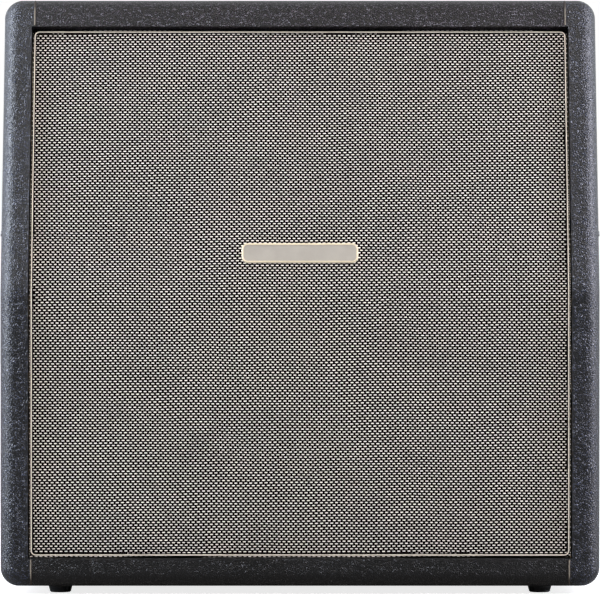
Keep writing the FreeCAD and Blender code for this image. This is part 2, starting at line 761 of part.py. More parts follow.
left_screw_places = handle_screw_places("left")
right_screw_places = handle_screw_places("right")
handle_places = left_screw_places + right_screw_places
handle_play = drill("handle_play", handle_places, "small_shank_diameter + 2 * screw_play", "handle_flange")
handle_pilots = drill("handle_pilots", shifted(handle_places, size("handle_flange")),
                      "small_shank_diameter + 2 * fit_clearance", "small_screw_length")

for side in SIDES:
    keep(cut(side + "_handle_drilled", make_handle(side), handle_play), side + "_handle")

side_cuts = fuse("side_cuts", [cup_hole("left"), cup_hole("right")])

# Feet with their screws

foot_places = []
for along in (-1, 1):
    for across in (-1, 1):
        foot_places.append((across * size("case_width / 2 - foot_inset_side"),
                            along * size("case_depth / 2 - foot_inset_front")))

feet = []
for number, (across, along) in enumerate(foot_places, 1):
    foot = new_body(f"foot_{number}")
    foot_sketch = new_sketch(foot, "XZ_Plane", f"foot_{number}_profile")
    draw(foot_sketch, [
        ("foot_recess_diameter / 2", "0"),
        ("foot_bottom_diameter / 2 - foot_round", "0", "foot_round", -1),
        ("foot_bottom_diameter / 2", "foot_round"),
        ("foot_top_diameter / 2", "foot_height"),
        ("foot_shank_diameter / 2 + screw_play", "foot_height"),
        ("foot_shank_diameter / 2 + screw_play", "foot_recess_depth"),
        ("foot_recess_diameter / 2", "foot_recess_depth"),
    ])
    revolve(foot, foot_sketch, f"foot_{number}_turned")
    side_sign = "1" if across > 0 else "-1"
    end_sign = "1" if along > 0 else "-1"
    bind(foot, "Placement.Base.x", f"{side_sign} * (case_width / 2 - foot_inset_side)")
    bind(foot, "Placement.Base.y", f"{end_sign} * (case_depth / 2 - foot_inset_front)")
    feet.append(foot)
keep(group("feet", feet), "rubber_feet", 4)

foot_screw_places = [(Vector(across, along, size("foot_recess_depth")), Z_AXIS)
                     for across, along in foot_places]
keep(screws("foot_screws", foot_screw_places, "foot"), "foot_screws", 4)
foot_pilots = drill("foot_pilots", shifted(foot_screw_places, size("foot_height - foot_recess_depth")),
                    "foot_shank_diameter + 2 * fit_clearance", "foot_screw_length")

# Corner finger joints: these fingers belong to the top and bottom panels

top_fingers = []
bottom_fingers = []
for side, sign in (("left", -1), ("right", 1)):
    x_low = "inner_x" if sign > 0 else "-case_width / 2"
    x_high = "case_width / 2" if sign > 0 else "-inner_x"
    for number in range(1, int(size("top_finger_count")), 2):
        top_fingers.append(block(f"{side}_top_finger_{number}", x_low, x_high,
                                 f"front_y + slant_setback + {number} * top_finger",
                                 f"front_y + slant_setback + {number + 1} * top_finger",
                                 "inner_top", "top_z"))
    for number in range(1, int(size("bottom_finger_count")), 2):
        bottom_fingers.append(block(f"{side}_bottom_finger_{number}", x_low, x_high,
                                    f"front_y + {number} * bottom_finger",
                                    f"front_y + {number + 1} * bottom_finger",
                                    "base_z", "inner_bottom"))
doc.recompute()

all_fingers = fuse("all_fingers", top_fingers + bottom_fingers)
top_zone = fuse("top_zone", top_fingers + [
    block("top_slab", "-inner_x", "inner_x", "front_y", "rear_y", "inner_top", "top_z")])
bottom_zone = fuse("bottom_zone", bottom_fingers + [
    block("bottom_slab", "-inner_x", "inner_x", "front_y", "rear_y", "base_z", "inner_bottom")])
left_zone = cut("left_zone", block("left_slab", "-case_width / 2", "-inner_x", "front_y", "rear_y",
                                   "base_z", "top_z"), all_fingers)
right_zone = cut("right_zone", block("right_slab", "inner_x", "case_width / 2", "front_y", "rear_y",
                                     "base_z", "top_z"), all_fingers)

# Case panels

side_holes = group("side_holes", [side_cuts, handle_pilots])
for side, zone in (("left", left_zone), ("right", right_zone)):
    rough = common(side + "_side_rough", wood_shell, zone)
    keep(cut(side + "_side", rough, side_holes), side + "_side_panel")
keep(common("top", wood_shell, top_zone), "top_panel")
keep(cut("bottom", common("bottom_rough", wood_shell, bottom_zone), foot_pilots), "bottom_panel")

# Front edge strips, glued inside the panels round the opening

strip_zones = [
    block("left_strip_zone", "-inner_x", "wood_edge - case_width / 2", "front_y", "rear_inner_y",
          "inner_bottom", "inner_top"),
    block("right_strip_zone", "case_width / 2 - wood_edge", "inner_x", "front_y", "rear_inner_y",
          "inner_bottom", "inner_top"),
    block("bottom_strip_zone", "wood_edge - case_width / 2", "case_width / 2 - wood_edge", "front_y",
          "rear_inner_y", "inner_bottom", "kink_z"),
    block("top_strip_zone", "wood_edge - case_width / 2", "case_width / 2 - wood_edge", "front_y",
          "rear_inner_y", "kink_z", "inner_top"),
]
strips = [common(f"strip_{number}", wood_shell, zone) for number, zone in enumerate(strip_zones, 1)]
keep(group("strips", strips), "front_edge_strips", 4)

# Covering, in four pieces that meet under the seam piping

covering_holes = group("covering_holes", [side_cuts, handle_pilots, foot_pilots])
covering_zones = {
    "left_side": block("left_covering_zone", "-case_width / 2", "-seam_x", "front_y", "rear_y",
                       "base_z", "top_z"),
    "right_side": block("right_covering_zone", "seam_x", "case_width / 2", "front_y", "rear_y",
                        "base_z", "top_z"),
    "top": block("top_covering_zone", "-seam_x", "seam_x", "front_y", "rear_y", "kink_z", "top_z"),
    "bottom": block("bottom_covering_zone", "-seam_x", "seam_x", "front_y", "rear_y", "base_z", "kink_z"),
}
drilled_covering = cut("drilled_covering", covering, covering_holes)
for name, zone in covering_zones.items():
    keep(common(name + "_cover", drilled_covering, zone), name + "_covering")

# Battens behind the baffle and in front of the rear panel

batten_ring = cut("batten_ring",
                  common("batten_slice", layer("batten_layer", "ring_depth", "ring_depth + batten_depth",
                                               "0 * frame_width"), room),
                  layer("batten_window", "ring_depth - cut_overrun",
                        "ring_depth + batten_depth + cut_overrun", "frame_width + batten_ledge"))
batten_x = "case_width / 2 - frame_width - batten_ledge"
batten_zones = [
    block("left_batten_zone", "-inner_x", f"-({batten_x})", "front_y", "rear_y", "inner_bottom", "inner_top"),
    block("right_batten_zone", batten_x, "inner_x", "front_y", "rear_y", "inner_bottom", "inner_top"),
    block("bottom_batten_zone", f"-({batten_x})", batten_x, "front_y", "rear_y", "inner_bottom", "kink_z"),
    block("top_batten_zone", f"-({batten_x})", batten_x, "front_y", "rear_y", "kink_z", "inner_top"),
]
battens = [common(f"baffle_batten_{number}", batten_ring, zone)
           for number, zone in enumerate(batten_zones, 1)]
keep(group("baffle_batten_set", battens), "baffle_battens", 4)

batten_y = "rear_inner_y - rear_batten_width"
rear_sticks = [
    block("rear_left_stick", "-inner_x", "rear_batten_width - inner_x", batten_y, "rear_inner_y",
          "inner_bottom", "inner_top"),
    block("rear_right_stick", "inner_x - rear_batten_width", "inner_x", batten_y, "rear_inner_y",
          "inner_bottom", "inner_top"),
    block("rear_bottom_stick", "rear_batten_width - inner_x", "inner_x - rear_batten_width", batten_y,
          "rear_inner_y", "inner_bottom", "inner_bottom + rear_batten_width"),
    block("rear_top_stick", "rear_batten_width - inner_x", "inner_x - rear_batten_width", batten_y,
          "rear_inner_y", "inner_top - rear_batten_width", "inner_top"),
]

# Rear panel, its covering, its screws and the centre brace

screw_half = size("inner_x - rear_batten_width / 2")
screw_low = size("inner_bottom + rear_batten_width / 2")
screw_high = size("inner_top - rear_batten_width / 2")
across_count = int(size("rear_screws_across"))
up_count = int(size("rear_screws_up"))
rear_spots = []
for number in range(1, across_count + 1):
    spot_x = screw_half * (2 * number / (across_count + 1) - 1)
    rear_spots.append((spot_x, screw_low))
    rear_spots.append((spot_x, screw_high))
for number in range(up_count):
    inset = size("rear_batten_width") * 2
    spot_z = screw_low + inset + (screw_high - screw_low - 2 * inset) * number / (up_count - 1)
    rear_spots.append((-screw_half, spot_z))
    rear_spots.append((screw_half, spot_z))
rear_spots.append((0, size("brace_top - brace_height / 2")))
rear_places = [(Vector(x, size("rear_face_y"), z), Vector(0, -1, 0)) for x, z in rear_spots]
keep(screws("rear_screws", rear_places, "large"), "rear_panel_screws", len(rear_places))
rear_pilots = drill("rear_pilots", rear_places, "large_shank_diameter + 2 * fit_clearance",
                    "large_screw_length")

drilled_sticks = [cut(f"rear_batten_{number}", stick, rear_pilots)
                  for number, stick in enumerate(rear_sticks, 1)]
keep(group("rear_batten_set", drilled_sticks), "rear_battens", 4)

brace = block("brace", "-brace_width / 2", "brace_width / 2", "front_y + ring_depth", "rear_inner_y",
              "brace_top - brace_height", "brace_top")
keep(cut("brace_drilled", brace, rear_pilots), "centre_brace")

jack_places = []
for across in (-1, 1):
    for up in (-1, 1):
        point = Vector(across * size("jack_plate_width / 2 - jack_screw_inset"),
                       size("rear_face_y + jack_plate_thickness"),
                       size("jack_z") + up * size("jack_plate_height / 2 - jack_screw_inset"))
        jack_places.append((point, Vector(0, -1, 0)))
jack_play = drill("jack_play", jack_places, "small_shank_diameter + 2 * screw_play", "jack_plate_thickness")
jack_pilots = drill("jack_pilots", shifted(jack_places, size("jack_plate_thickness")),
                    "small_shank_diameter + 2 * fit_clearance", "small_screw_length")
pocket_point = Vector(0, size("rear_y"), size("jack_z"))
jack_pocket = drill("jack_pocket", [(pocket_point, Vector(0, -1, 0))], "jack_pocket_diameter",
                    "rear_recess + rear_panel_thickness + cut_overrun")

rear_holes = group("rear_holes", [rear_pilots, jack_pilots, jack_pocket])
rear_board = block("rear_board", "-rear_half", "rear_half", "rear_inner_y", "rear_face_y - vinyl_thickness",
                   "rear_low", "rear_high")
rear_skin = block("rear_skin", "-rear_half - vinyl_thickness", "rear_half + vinyl_thickness", "rear_inner_y",
                  "rear_face_y", "rear_low - vinyl_thickness", "rear_high + vinyl_thickness")
keep(cut("rear_board_drilled", rear_board, rear_holes), "rear_panel")
keep(cut("rear_cover", cut("rear_cover_blank", rear_skin, rear_board), rear_holes), "rear_panel_covering")

keep(screws("trim_screw_set", handle_places + jack_places, "small"), "handle_and_jack_screws",
     len(handle_places + jack_places))

# Jack plate, jack socket and nut

jack_turn = "placement(vector(0; rear_face_y; jack_z); rotationx(-90 deg))"

plate = new_body("jack_plate_blank")
plate_sketch = new_sketch(plate, "XY_Plane", "jack_plate_outline")
draw(plate_sketch, rounded_rectangle("jack_plate_width / 2", "jack_plate_height / 2", "jack_plate_corner"))
pad(plate, plate_sketch, "jack_plate_thickness", "jack_plate_sheet")
bush_sketch = new_sketch(plate, "XY_Plane", "jack_plate_hole_outline", lift="jack_plate_thickness")
draw_circle(bush_sketch, "0", "0", "bush_diameter / 2 + bush_clearance")
pocket(plate, bush_sketch, "jack_plate_thickness", "jack_plate_hole")
bind(plate, "Placement", jack_turn)
doc.recompute()
keep(cut("jack_plate_drilled", plate, jack_play), "jack_plate")

jack = new_body("jack")
jack_sketch = new_sketch(jack, "XY_Plane", "jack_body_outline")
draw(jack_sketch, rectangle("jack_body_width / 2", "jack_body_width / 2"))
pad(jack, jack_sketch, "jack_body_depth", "jack_body", back=True)
jack_bush_sketch = new_sketch(jack, "XY_Plane", "jack_bush_outline")
draw_circle(jack_bush_sketch, "0", "0", "bush_diameter / 2")
pad(jack, jack_bush_sketch, "bush_length", "jack_bush")
lug_sketch = new_sketch(jack, "XY_Plane", "jack_lug_outline", lift="-jack_body_depth")
for sign in ("-1", "1"):
    middle = f"{sign} * lug_spacing / 2"
    draw(lug_sketch, [
        (f"{middle} - lug_width / 2", "-lug_thickness / 2"),
        (f"{middle} + lug_width / 2", "-lug_thickness / 2"),
        (f"{middle} + lug_width / 2", "lug_thickness / 2"),
        (f"{middle} - lug_width / 2", "lug_thickness / 2"),
    ])
pad(jack, lug_sketch, "lug_length", "jack_lugs", back=True)
bore_sketch = new_sketch(jack, "XY_Plane", "jack_bore_outline", lift="bush_length")
draw_circle(bore_sketch, "0", "0", "plug_bore_diameter / 2")
pocket(jack, bore_sketch, "plug_bore_depth", "jack_bore")
bind(jack, "Placement", jack_turn)
doc.recompute()
keep(jack, "jack_socket")

nut = new_body("nut")
nut_sketch = new_sketch(nut, "XY_Plane", "nut_outline", lift="jack_plate_thickness")
corner_reach = "nut_flats / (2 * cos(30 deg))"
draw(nut_sketch, [(f"{corner_reach} * cos({turn} deg)", f"{corner_reach} * sin({turn} deg)")
                  for turn in (30, 90, 150, 210, 270, 330)])
draw_circle(nut_sketch, "0", "0", "bush_diameter / 2 + bush_clearance")
pad(nut, nut_sketch, "nut_thickness", "nut_sheet")
bind(nut, "Placement", jack_turn)
doc.recompute()
keep(nut, "jack_nut")

# Driver positions: the lower pair looks straight ahead, the upper pair along the slant's normal

DRIVERS = {
    "lower_left": ("-1", "lower"),
    "lower_right": ("1", "lower"),
    "upper_left": ("-1", "upper"),
    "upper_right": ("1", "upper"),
}
AXIS_START = {
    "lower": ("front_y + ring_depth", "lower_axis_z"),
    "upper": ("front_y + upper_axis_s * sin(slant) + ring_depth * cos(slant)",
              "kink_z + upper_axis_s * cos(slant) - ring_depth * sin(slant)"),
}
AXIS_TURN = {"lower": "rotationx(-90 deg)", "upper": "rotationx(-90 deg - slant)"}


def driver_placement(name):
    sign, row = DRIVERS[name]
    start = AXIS_START[row]
    return f"placement(vector({sign} * driver_spacing / 2; {start[0]}; {start[1]}); {AXIS_TURN[row]})"


def driver_frame(name):
    result = sheet.evalExpression(expand(driver_placement(name)))
    return FreeCAD.Placement(result)


def turned(label, points, name):
    body = new_body(label)
    sketch = new_sketch(body, "XZ_Plane", label + "_profile")
    draw(sketch, points)
    revolve(body, sketch, label + "_turned")
    bind(body, "Placement", driver_placement(name))
    doc.recompute()
    return body


# Driver screws and the holes that take them

screw_spots = []
for number in range(int(size("driver_screw_count"))):
    turn = math.radians(360 * (number + 0.5) / size("driver_screw_count"))
    reach = size("driver_diameter / 2 - driver_screw_inset")
    depth = size("flange_front + basket_sheet")
    screw_spots.append(Vector(reach * math.cos(turn), reach * math.sin(turn), depth))
driver_places = []
for name in DRIVERS:
    frame = driver_frame(name)
    inward = frame.Rotation.multVec(Vector(0, 0, -1))
    driver_places += [(frame.multVec(spot), inward) for spot in screw_spots]
keep(screws("driver_screw_set", driver_places, "driver"), "driver_screws", len(driver_places))
driver_pilots = drill("driver_pilots", driver_places, "driver_shank_diameter + 2 * fit_clearance",
                      "driver_screw_length + fit_clearance")
driver_play = drill("driver_play", shifted(driver_places, -size("basket_sheet")),
                    "driver_shank_diameter + 2 * screw_play", "flange_front + 3 * basket_sheet")

# Baffles with the driver holes, split at the bend

cutouts = []
for name in DRIVERS:
    frame = driver_frame(name)
    hole = Part.makeCylinder(size("cutout_radius"), size("baffle_thickness + 2 * cut_overrun"),
                             frame.multVec(Vector(0, 0, -size("baffle_thickness + cut_overrun"))),
                             frame.Rotation.multVec(Z_AXIS))
    cutouts.append(hole)
driver_holes = coded("driver_holes", Part.makeCompound(cutouts))

badge_turn = ("placement(vector(0; front_y + badge_rise * sin(slant) + grille_recess * cos(slant); "
              "kink_z + badge_rise * cos(slant) - grille_recess * sin(slant)); rotationx(90 deg - slant))")
badge_frame = FreeCAD.Placement(sheet.evalExpression(expand(badge_turn)))
pin_places = []
for sign in (-1, 1):
    spot = Vector(sign * size("badge_pin_spacing / 2"), 0, 0)
    pin_places.append((badge_frame.multVec(spot), badge_frame.Rotation.multVec(Vector(0, 0, -1))))
pin_holes = drill("pin_holes", pin_places, "badge_pin_diameter + 2 * pin_clearance",
                  "badge_pin_length + pin_clearance")

baffle_board = layer("baffle_board", "baffle_near", "ring_depth", "baffle_edge")
baffle_holes = group("baffle_holes", [driver_holes, driver_pilots, pin_holes])
drilled_baffle = cut("drilled_baffle", baffle_board, baffle_holes)


def bend_wedge(label, upper):
    # The joint between the boards lies in the plane that halves the bend
    body = new_body(label)
    sketch = new_sketch(body, "YZ_Plane", label + "_outline")
    far = "case_depth"
    edge_low = ("front_y - cut_overrun", "kink_z + cut_overrun * half_bend")
    edge_high = (f"front_y + {far}", f"kink_z - {far} * half_bend")
    if upper:
        draw(sketch, [edge_low, edge_high, (f"front_y + {far}", "top_z"), ("front_y - cut_overrun", "top_z")])
    else:
        draw(sketch, [("front_y - cut_overrun", "base_z"), (f"front_y + {far}", "base_z"),
                      edge_high, edge_low])
    pad(body, sketch, "case_width", label + "_width", middle=True)
    return body


keep(common("lower_board", drilled_baffle, bend_wedge("lower_wedge", False)), "lower_baffle")
keep(common("upper_board", drilled_baffle, bend_wedge("upper_wedge", True)), "upper_baffle")

# Grille cloth: one sheet over both baffles, turned back round their edges

cloth_blank = layer("cloth_blank", "grille_recess", "ring_depth", "cloth_edge")
cloth_core = layer("cloth_core", "baffle_near", "ring_depth + cut_overrun", "baffle_edge")
keep(cut("cloth", cut("cloth_tray", cloth_blank, cloth_core), pin_holes), "grille_cloth")

# Piping loop on the cloth

loop_outer = layer("loop_outer", "grille_recess - piping_height", "grille_recess",
                   "piping_inset - piping_width / 2")
loop_inner = layer("loop_inner", "grille_recess - 2 * piping_height", "grille_recess + piping_height",
                   "piping_inset + piping_width / 2")


def round_corners(body, inset, height, radius, label):
    half = size(f"case_width / 2 - ({inset})")

    def at_corner(edge):
        at_side = abs(abs(edge.CenterOfMass.x) - half) < NEAR
        through = len(edge.Vertexes) == 2 and abs(edge.Length - size(height)) < NEAR
        return at_side and through and not runs_along(edge, X_AXIS)

    fillet(body, body.Tip, at_corner, radius, label)


round_corners(loop_outer, "piping_inset - piping_width / 2", "piping_height",
              "piping_corner + piping_width / 2", "loop_outer_corners")
round_corners(loop_inner, "piping_inset + piping_width / 2", "3 * piping_height",
              "piping_corner - piping_width / 2", "loop_inner_corners")
loop_ring = new_body("loop_ring")
loop_ring.BaseFeature = cut("loop_flat", loop_outer, loop_inner)
doc.recompute()


def loop_front(edge):
    depth = size("grille_recess - piping_height")
    if not all(abs(depth_behind_rim(point) - depth) < NEAR for point in samples(edge)):
        return False
    return edge.Length > size("piping_width") + NEAR or not runs_along(edge, X_AXIS)


fillet(loop_ring, loop_ring.Tip, loop_front, "piping_round", "loop_rounding")
keep(loop_ring, "grille_piping")

# Seam piping: four strips over the covering's seams, from the opening's edge round the front edge

SEAMS = {
    "bottom_left": ("-1", "bottom"),
    "bottom_right": ("1", "bottom"),
    "top_left": ("-1", "top"),
    "top_right": ("1", "top"),
}
seam_strips = []
for name, (sign, row) in SEAMS.items():
    strip = new_body("seam_" + name)
    sketch = new_sketch(strip, "YZ_Plane", f"seam_{name}_side")
    round_text = "front_round"
    high_text = "front_round + piping_height"
    if row == "bottom":
        centre = ("front_y + front_round", "base_z + front_round")
        start = ("front_y", "base_z + frame_width - piping_height")
        start_out = ("front_y - piping_height", "base_z + frame_width - piping_height")
        turn_in = ("front_y", centre[1])
        turn_out = ("front_y - piping_height", centre[1])
        end_in = (f"{centre[0]} - front_round * cos(seam_turn * 1 deg)",
                  f"{centre[1]} - front_round * sin(seam_turn * 1 deg)")
        end_out = (f"{centre[0]} - ({high_text}) * cos(seam_turn * 1 deg)",
                   f"{centre[1]} - ({high_text}) * sin(seam_turn * 1 deg)")
        draw(sketch, [start, turn_in + (round_text, -1), end_in,
                      end_out + (high_text, 1), turn_out, start_out])
    else:
        # The rounding's centre lies inside both the slanted front and the top
        centre_z = "top_z - front_round"
        centre_y = "front_y + tan(slant) * (top_z - front_round - kink_z) + front_round / cos(slant)"

        def on_slant(depth, drop):
            return (f"front_y + (slant_length - ({drop})) * sin(slant) + ({depth}) * cos(slant)",
                    f"kink_z + (slant_length - ({drop})) * cos(slant) - ({depth}) * sin(slant)")

        def on_round(radius, turn):
            return (f"{centre_y} - ({radius}) * cos({turn})", f"{centre_z} + ({radius}) * sin({turn})")

        start = on_slant("0 * front_round", "frame_width - piping_height")
        start_out = on_slant("-piping_height", "frame_width - piping_height")
        full_turn = "(seam_turn * 1 deg + slant * (1 - seam_turn / 90))"
        draw(sketch, [start, on_round(round_text, "slant") + (round_text, 1),
                      on_round(round_text, full_turn), on_round(high_text, full_turn) + (high_text, -1),
                      on_round(high_text, "slant"), start_out])
    feature = pad(strip, sketch, "piping_width", f"seam_{name}_width", middle=True)

    def seam_edge(edge):
        outside = [depth_behind_rim(point) for point in samples(edge)]
        across = runs_along(edge, X_AXIS)
        side_face = abs(abs(edge.CenterOfMass.x) - size("piping_width / 2")) < NEAR
        is_arc = edge.Curve.TypeId == "Part::GeomCircle"
        raised = max(outside) < NEAR - size("piping_height") or is_arc
        big = not is_arc or edge.Curve.Radius > size("front_round + piping_height / 2")
        return side_face and not across and raised and big

    fillet(strip, feature, seam_edge, "piping_round", f"seam_{name}_rounding")
    bind(strip, "Placement.Base.x", f"{sign} * seam_x")
    doc.recompute()
    seam_strips.append(strip)
keep(group("seam_strips", seam_strips), "seam_piping", 4)

# Plain badge plate with a raised rim and two pins

badge = new_body("badge")
badge_sketch = new_sketch(badge, "XY_Plane", "badge_outline")
draw(badge_sketch, rounded_rectangle("badge_length / 2", "badge_height / 2", "badge_corner"))
badge_pad = pad(badge, badge_sketch, "badge_thickness", "badge_sheet")


def badge_front(edge):
    return all(abs(point.z - size("badge_thickness")) < NEAR for point in samples(edge))


fillet(badge, badge_pad, badge_front, "badge_rim / 3", "badge_rounding")
badge_middle = new_sketch(badge, "XY_Plane", "badge_middle_outline", lift="badge_thickness")
draw(badge_middle, rounded_rectangle("badge_length / 2 - badge_rim", "badge_height / 2 - badge_rim",
                                     "(badge_corner - badge_rim)"))
pocket(badge, badge_middle, "badge_sink", "badge_middle")
pin_sketch = new_sketch(badge, "XY_Plane", "badge_pin_outline")
draw_circle(pin_sketch, "-badge_pin_spacing / 2", "0", "badge_pin_diameter / 2")
draw_circle(pin_sketch, "badge_pin_spacing / 2", "0", "badge_pin_diameter / 2")
pad(badge, pin_sketch, "badge_pin_length", "badge_pins", back=True)
bind(badge, "Placement", badge_turn)
doc.recompute()
keep(badge, "badge_plate")

# Drivers

gaskets = []
top_plates = []
magnets = []
yokes = []
terminals = []
for name in DRIVERS:
    gasket_inner = "cutout_radius + gasket_lip"
    gaskets.append(cut(f"gasket_{name}_drilled", turned(f"gasket_{name}", [
        (gasket_inner, "0"),
        ("driver_diameter / 2", "0"),
        ("driver_diameter / 2", "flange_front"),
        ("surround_rim + glue_gap", "flange_front"),
        ("surround_rim + glue_gap", "gasket_thickness"),
        (gasket_inner, "gasket_thickness"),
    ], name), driver_play))

    # Pressed basket: flange, sloping wall with windows, spider shelf, lower wall and floor
    basket = new_body(f"basket_{name}_pressing")
    basket_sketch = new_sketch(basket, "XZ_Plane", f"basket_{name}_profile")
    draw(basket_sketch, [
        ("driver_diameter / 2", "flange_front"),
        ("basket_throat", "flange_front"),
        ("shelf_outer", "shelf_front"),
        ("shelf_inner", "shelf_front"),
        ("shelf_inner", "base_rear - basket_sheet"),
        ("basket_bore", "base_rear - basket_sheet"),
        ("basket_bore", "base_rear"),
        ("shelf_inner + basket_sheet", "base_rear"),
        ("shelf_inner + basket_sheet", "shelf_front + basket_sheet"),
        ("shelf_outer + wall_shift", "shelf_front + basket_sheet"),
        ("basket_throat + wall_shift", "flange_front + basket_sheet"),
        ("driver_diameter / 2", "flange_front + basket_sheet"),
    ])
    revolve(basket, basket_sketch, f"basket_{name}_turned")
    window_sketch = new_sketch(basket, "XY_Plane", f"basket_{name}_window_outline", lift="base_rear")
    half_window = "window_angle * 1 deg / 2"
    draw(window_sketch, [
        (f"window_inner * cos({half_window})", f"-window_inner * sin({half_window})"),
        (f"window_outer * cos({half_window})", f"-window_outer * sin({half_window})", "window_outer", -1),
        (f"window_outer * cos({half_window})", f"window_outer * sin({half_window})"),
        (f"window_inner * cos({half_window})", f"window_inner * sin({half_window})", "window_inner", 1),
    ])
    window = pocket(basket, window_sketch, "base_rear", f"basket_{name}_window")
    polar(basket, window, "window_count", f"basket_{name}_windows")
    bind(basket, "Placement", driver_placement(name))
    doc.recompute()
    keep(cut(f"basket_{name}_drilled", basket, driver_play), f"basket_{name}")

    # Surround: a flat rim and two rolls, the outer one forward and the inner one back
    roll_middle = "(surround_outer + surround_inner) / 2"
    keep(turned(f"surround_{name}", [
        ("surround_rim", "gasket_thickness"),
        ("surround_rim", "gasket_thickness + surround_thickness"),
        ("surround_outer", "gasket_thickness + surround_thickness", "roll_radius", 1),
        (roll_middle, "gasket_thickness + surround_thickness", "roll_radius", -1),
        ("surround_inner", "gasket_thickness + surround_thickness"),
        ("surround_inner", "gasket_thickness", "roll_radius", 1),
        (roll_middle, "gasket_thickness", "roll_radius", -1),
        ("surround_outer", "gasket_thickness"),
    ], name), f"surround_{name}")

    keep(turned(f"cone_{name}", [
        ("cone_rim", "gasket_thickness"),
        ("cone_rim", "gasket_thickness + cone_thickness"),
        ("cone_neck", "neck_depth + cone_thickness"),
        ("cone_neck", "neck_depth"),
    ], name), f"cone_{name}")

    keep(turned(f"dust_cap_{name}", [
        ("0", "cap_depth - cap_seat - cap_rise"),
        ("0", "cap_depth - cap_seat - cap_rise - cap_thickness", "cap_sphere", -1),
        ("cap_radius", "cap_depth - cap_seat - cap_thickness"),
        ("cap_radius", "cap_depth - cap_seat", "cap_sphere", 1),
    ], name), f"dust_cap_{name}")

    keep(turned(f"voice_coil_{name}", [
        ("former_outer - former_thickness", "neck_depth - former_lead"),
        ("former_outer", "neck_depth - former_lead"),
        ("former_outer", "winding_front"),
        ("former_outer + winding_thickness", "winding_front"),
        ("former_outer + winding_thickness", "winding_rear"),
        ("former_outer - former_thickness", "winding_rear"),
    ], name), f"voice_coil_{name}")

    # Spider: flat where it is glued, with three rolls between
    rolls = int(size("spider_roll_count"))
    roll_edges = [f"spider_roll_start + {number} * spider_roll_width" for number in range(rolls + 1)]
    rear_face = "shelf_front"
    front_face = "shelf_front - spider_thickness"
    spider_points = [("former_outer + glue_gap", rear_face)]
    for number in range(rolls):
        bulge = 1 if number % 2 else -1
        spider_points.append((roll_edges[number], rear_face, "spider_roll_radius", bulge))
    spider_points.append((roll_edges[rolls], rear_face))
    spider_points.append(("spider_outer", rear_face))
    spider_points.append(("spider_outer", front_face))
    for number in range(rolls, 0, -1):
        bulge = 1 if number % 2 else -1
        spider_points.append((roll_edges[number], front_face, "spider_roll_radius", bulge))
    spider_points.append((roll_edges[0], front_face))
    spider_points.append(("former_outer + glue_gap", front_face))
    keep(turned(f"spider_{name}", spider_points, name), f"spider_{name}")

    top_plates.append(turned(f"top_plate_{name}", [
        ("gap_bore", "base_rear"),
        ("plate_radius", "base_rear"),
        ("plate_radius", "magnet_front"),
        ("gap_bore", "magnet_front"),
    ], name))
    magnets.append(turned(f"magnet_{name}", [
        ("magnet_bore", "magnet_front"),
        ("magnet_radius", "magnet_front"),
        ("magnet_radius", "yoke_front"),
        ("magnet_bore", "yoke_front"),
    ], name))
    yokes.append(turned(f"yoke_{name}", [
        ("0", "base_rear - pole_lead"),
        ("pole_radius", "base_rear - pole_lead"),
        ("pole_radius", "yoke_front"),
        ("plate_radius", "yoke_front"),
        ("plate_radius", "yoke_front + plate_thickness"),
        ("0", "yoke_front + plate_thickness"),
    ], name))

    # Terminal board behind the spider shelf, with two tags that point at the other row of drivers
    facing = "-1" if DRIVERS[name][1] == "lower" else "1"
    low_y, high_y = "board_inner", "board_inner + tag_board_width"
    board = new_body(f"board_{name}")
    board_sketch = new_sketch(board, "XY_Plane", f"board_{name}_outline", lift="board_front")
    draw(board_sketch, [
        ("-tag_board_length / 2", f"{facing} * ({low_y})"),
        ("tag_board_length / 2", f"{facing} * ({low_y})"),
        ("tag_board_length / 2", f"{facing} * ({high_y})"),
        ("-tag_board_length / 2", f"{facing} * ({high_y})"),
    ])
    pad(board, board_sketch, "tag_board_thickness", f"board_{name}_sheet")
    bind(board, "Placement", driver_placement(name))
    terminals.append(board)
    for tag_name, sign in (("first", "-1"), ("second", "1")):
        tag = new_body(f"tag_{tag_name}_{name}")
        tag_sketch = new_sketch(tag, "XY_Plane", f"tag_{tag_name}_{name}_outline",
                                lift="board_front + tag_board_thickness")
        middle = f"{sign} * tag_spacing / 2"
        draw(tag_sketch, [
            (f"{middle} - tag_width / 2", f"{facing} * ({low_y})"),
            (f"{middle} + tag_width / 2", f"{facing} * ({low_y})"),
            (f"{middle} + tag_width / 2", f"{facing} * tag_tip"),
            (f"{middle} - tag_width / 2", f"{facing} * tag_tip"),
        ])
        pad(tag, tag_sketch, "tag_thickness", f"tag_{tag_name}_{name}_sheet")
        bind(tag, "Placement", driver_placement(name))
        terminals.append(tag)
doc.recompute()
keep(group("gasket_set", gaskets), "driver_gaskets", 4)
keep(group("top_plate_set", top_plates), "magnet_top_plates", 4)
keep(group("magnet_set", magnets), "magnet_rings", 4)
keep(group("yoke_set", yokes), "magnet_yokes", 4)
keep(group("terminal_set", terminals), "driver_terminals", 12)

# Wiring: each side's upper and lower driver in series, both sides in parallel at the jack


def lead(points):
    # Straight runs joined by tangent arcs
    radius = size("lead_bend")
    edges = []
    here = points[0]
    for index in range(1, len(points) - 1):
        before = (points[index - 1] - points[index]).normalize()
        after = (points[index + 1] - points[index]).normalize()
        half_angle = before.getAngle(after) / 2
        reach = radius / math.tan(half_angle)
        start = points[index] + before * reach
        stop = points[index] + after * reach
        middle = (before + after).normalize()
        centre = points[index] + middle * (radius / math.sin(half_angle))
        edges.append(Part.LineSegment(here, start).toShape())
        edges.append(Part.Arc(start, centre - middle * radius, stop).toShape())
        here = stop
    edges.append(Part.LineSegment(here, points[-1]).toShape())
    path = Part.Wire(edges)
    section = Part.Wire(Part.Circle(points[0], points[1] - points[0], size("lead_diameter / 2")).toShape())
    return path.makePipeShell([section], True, False)


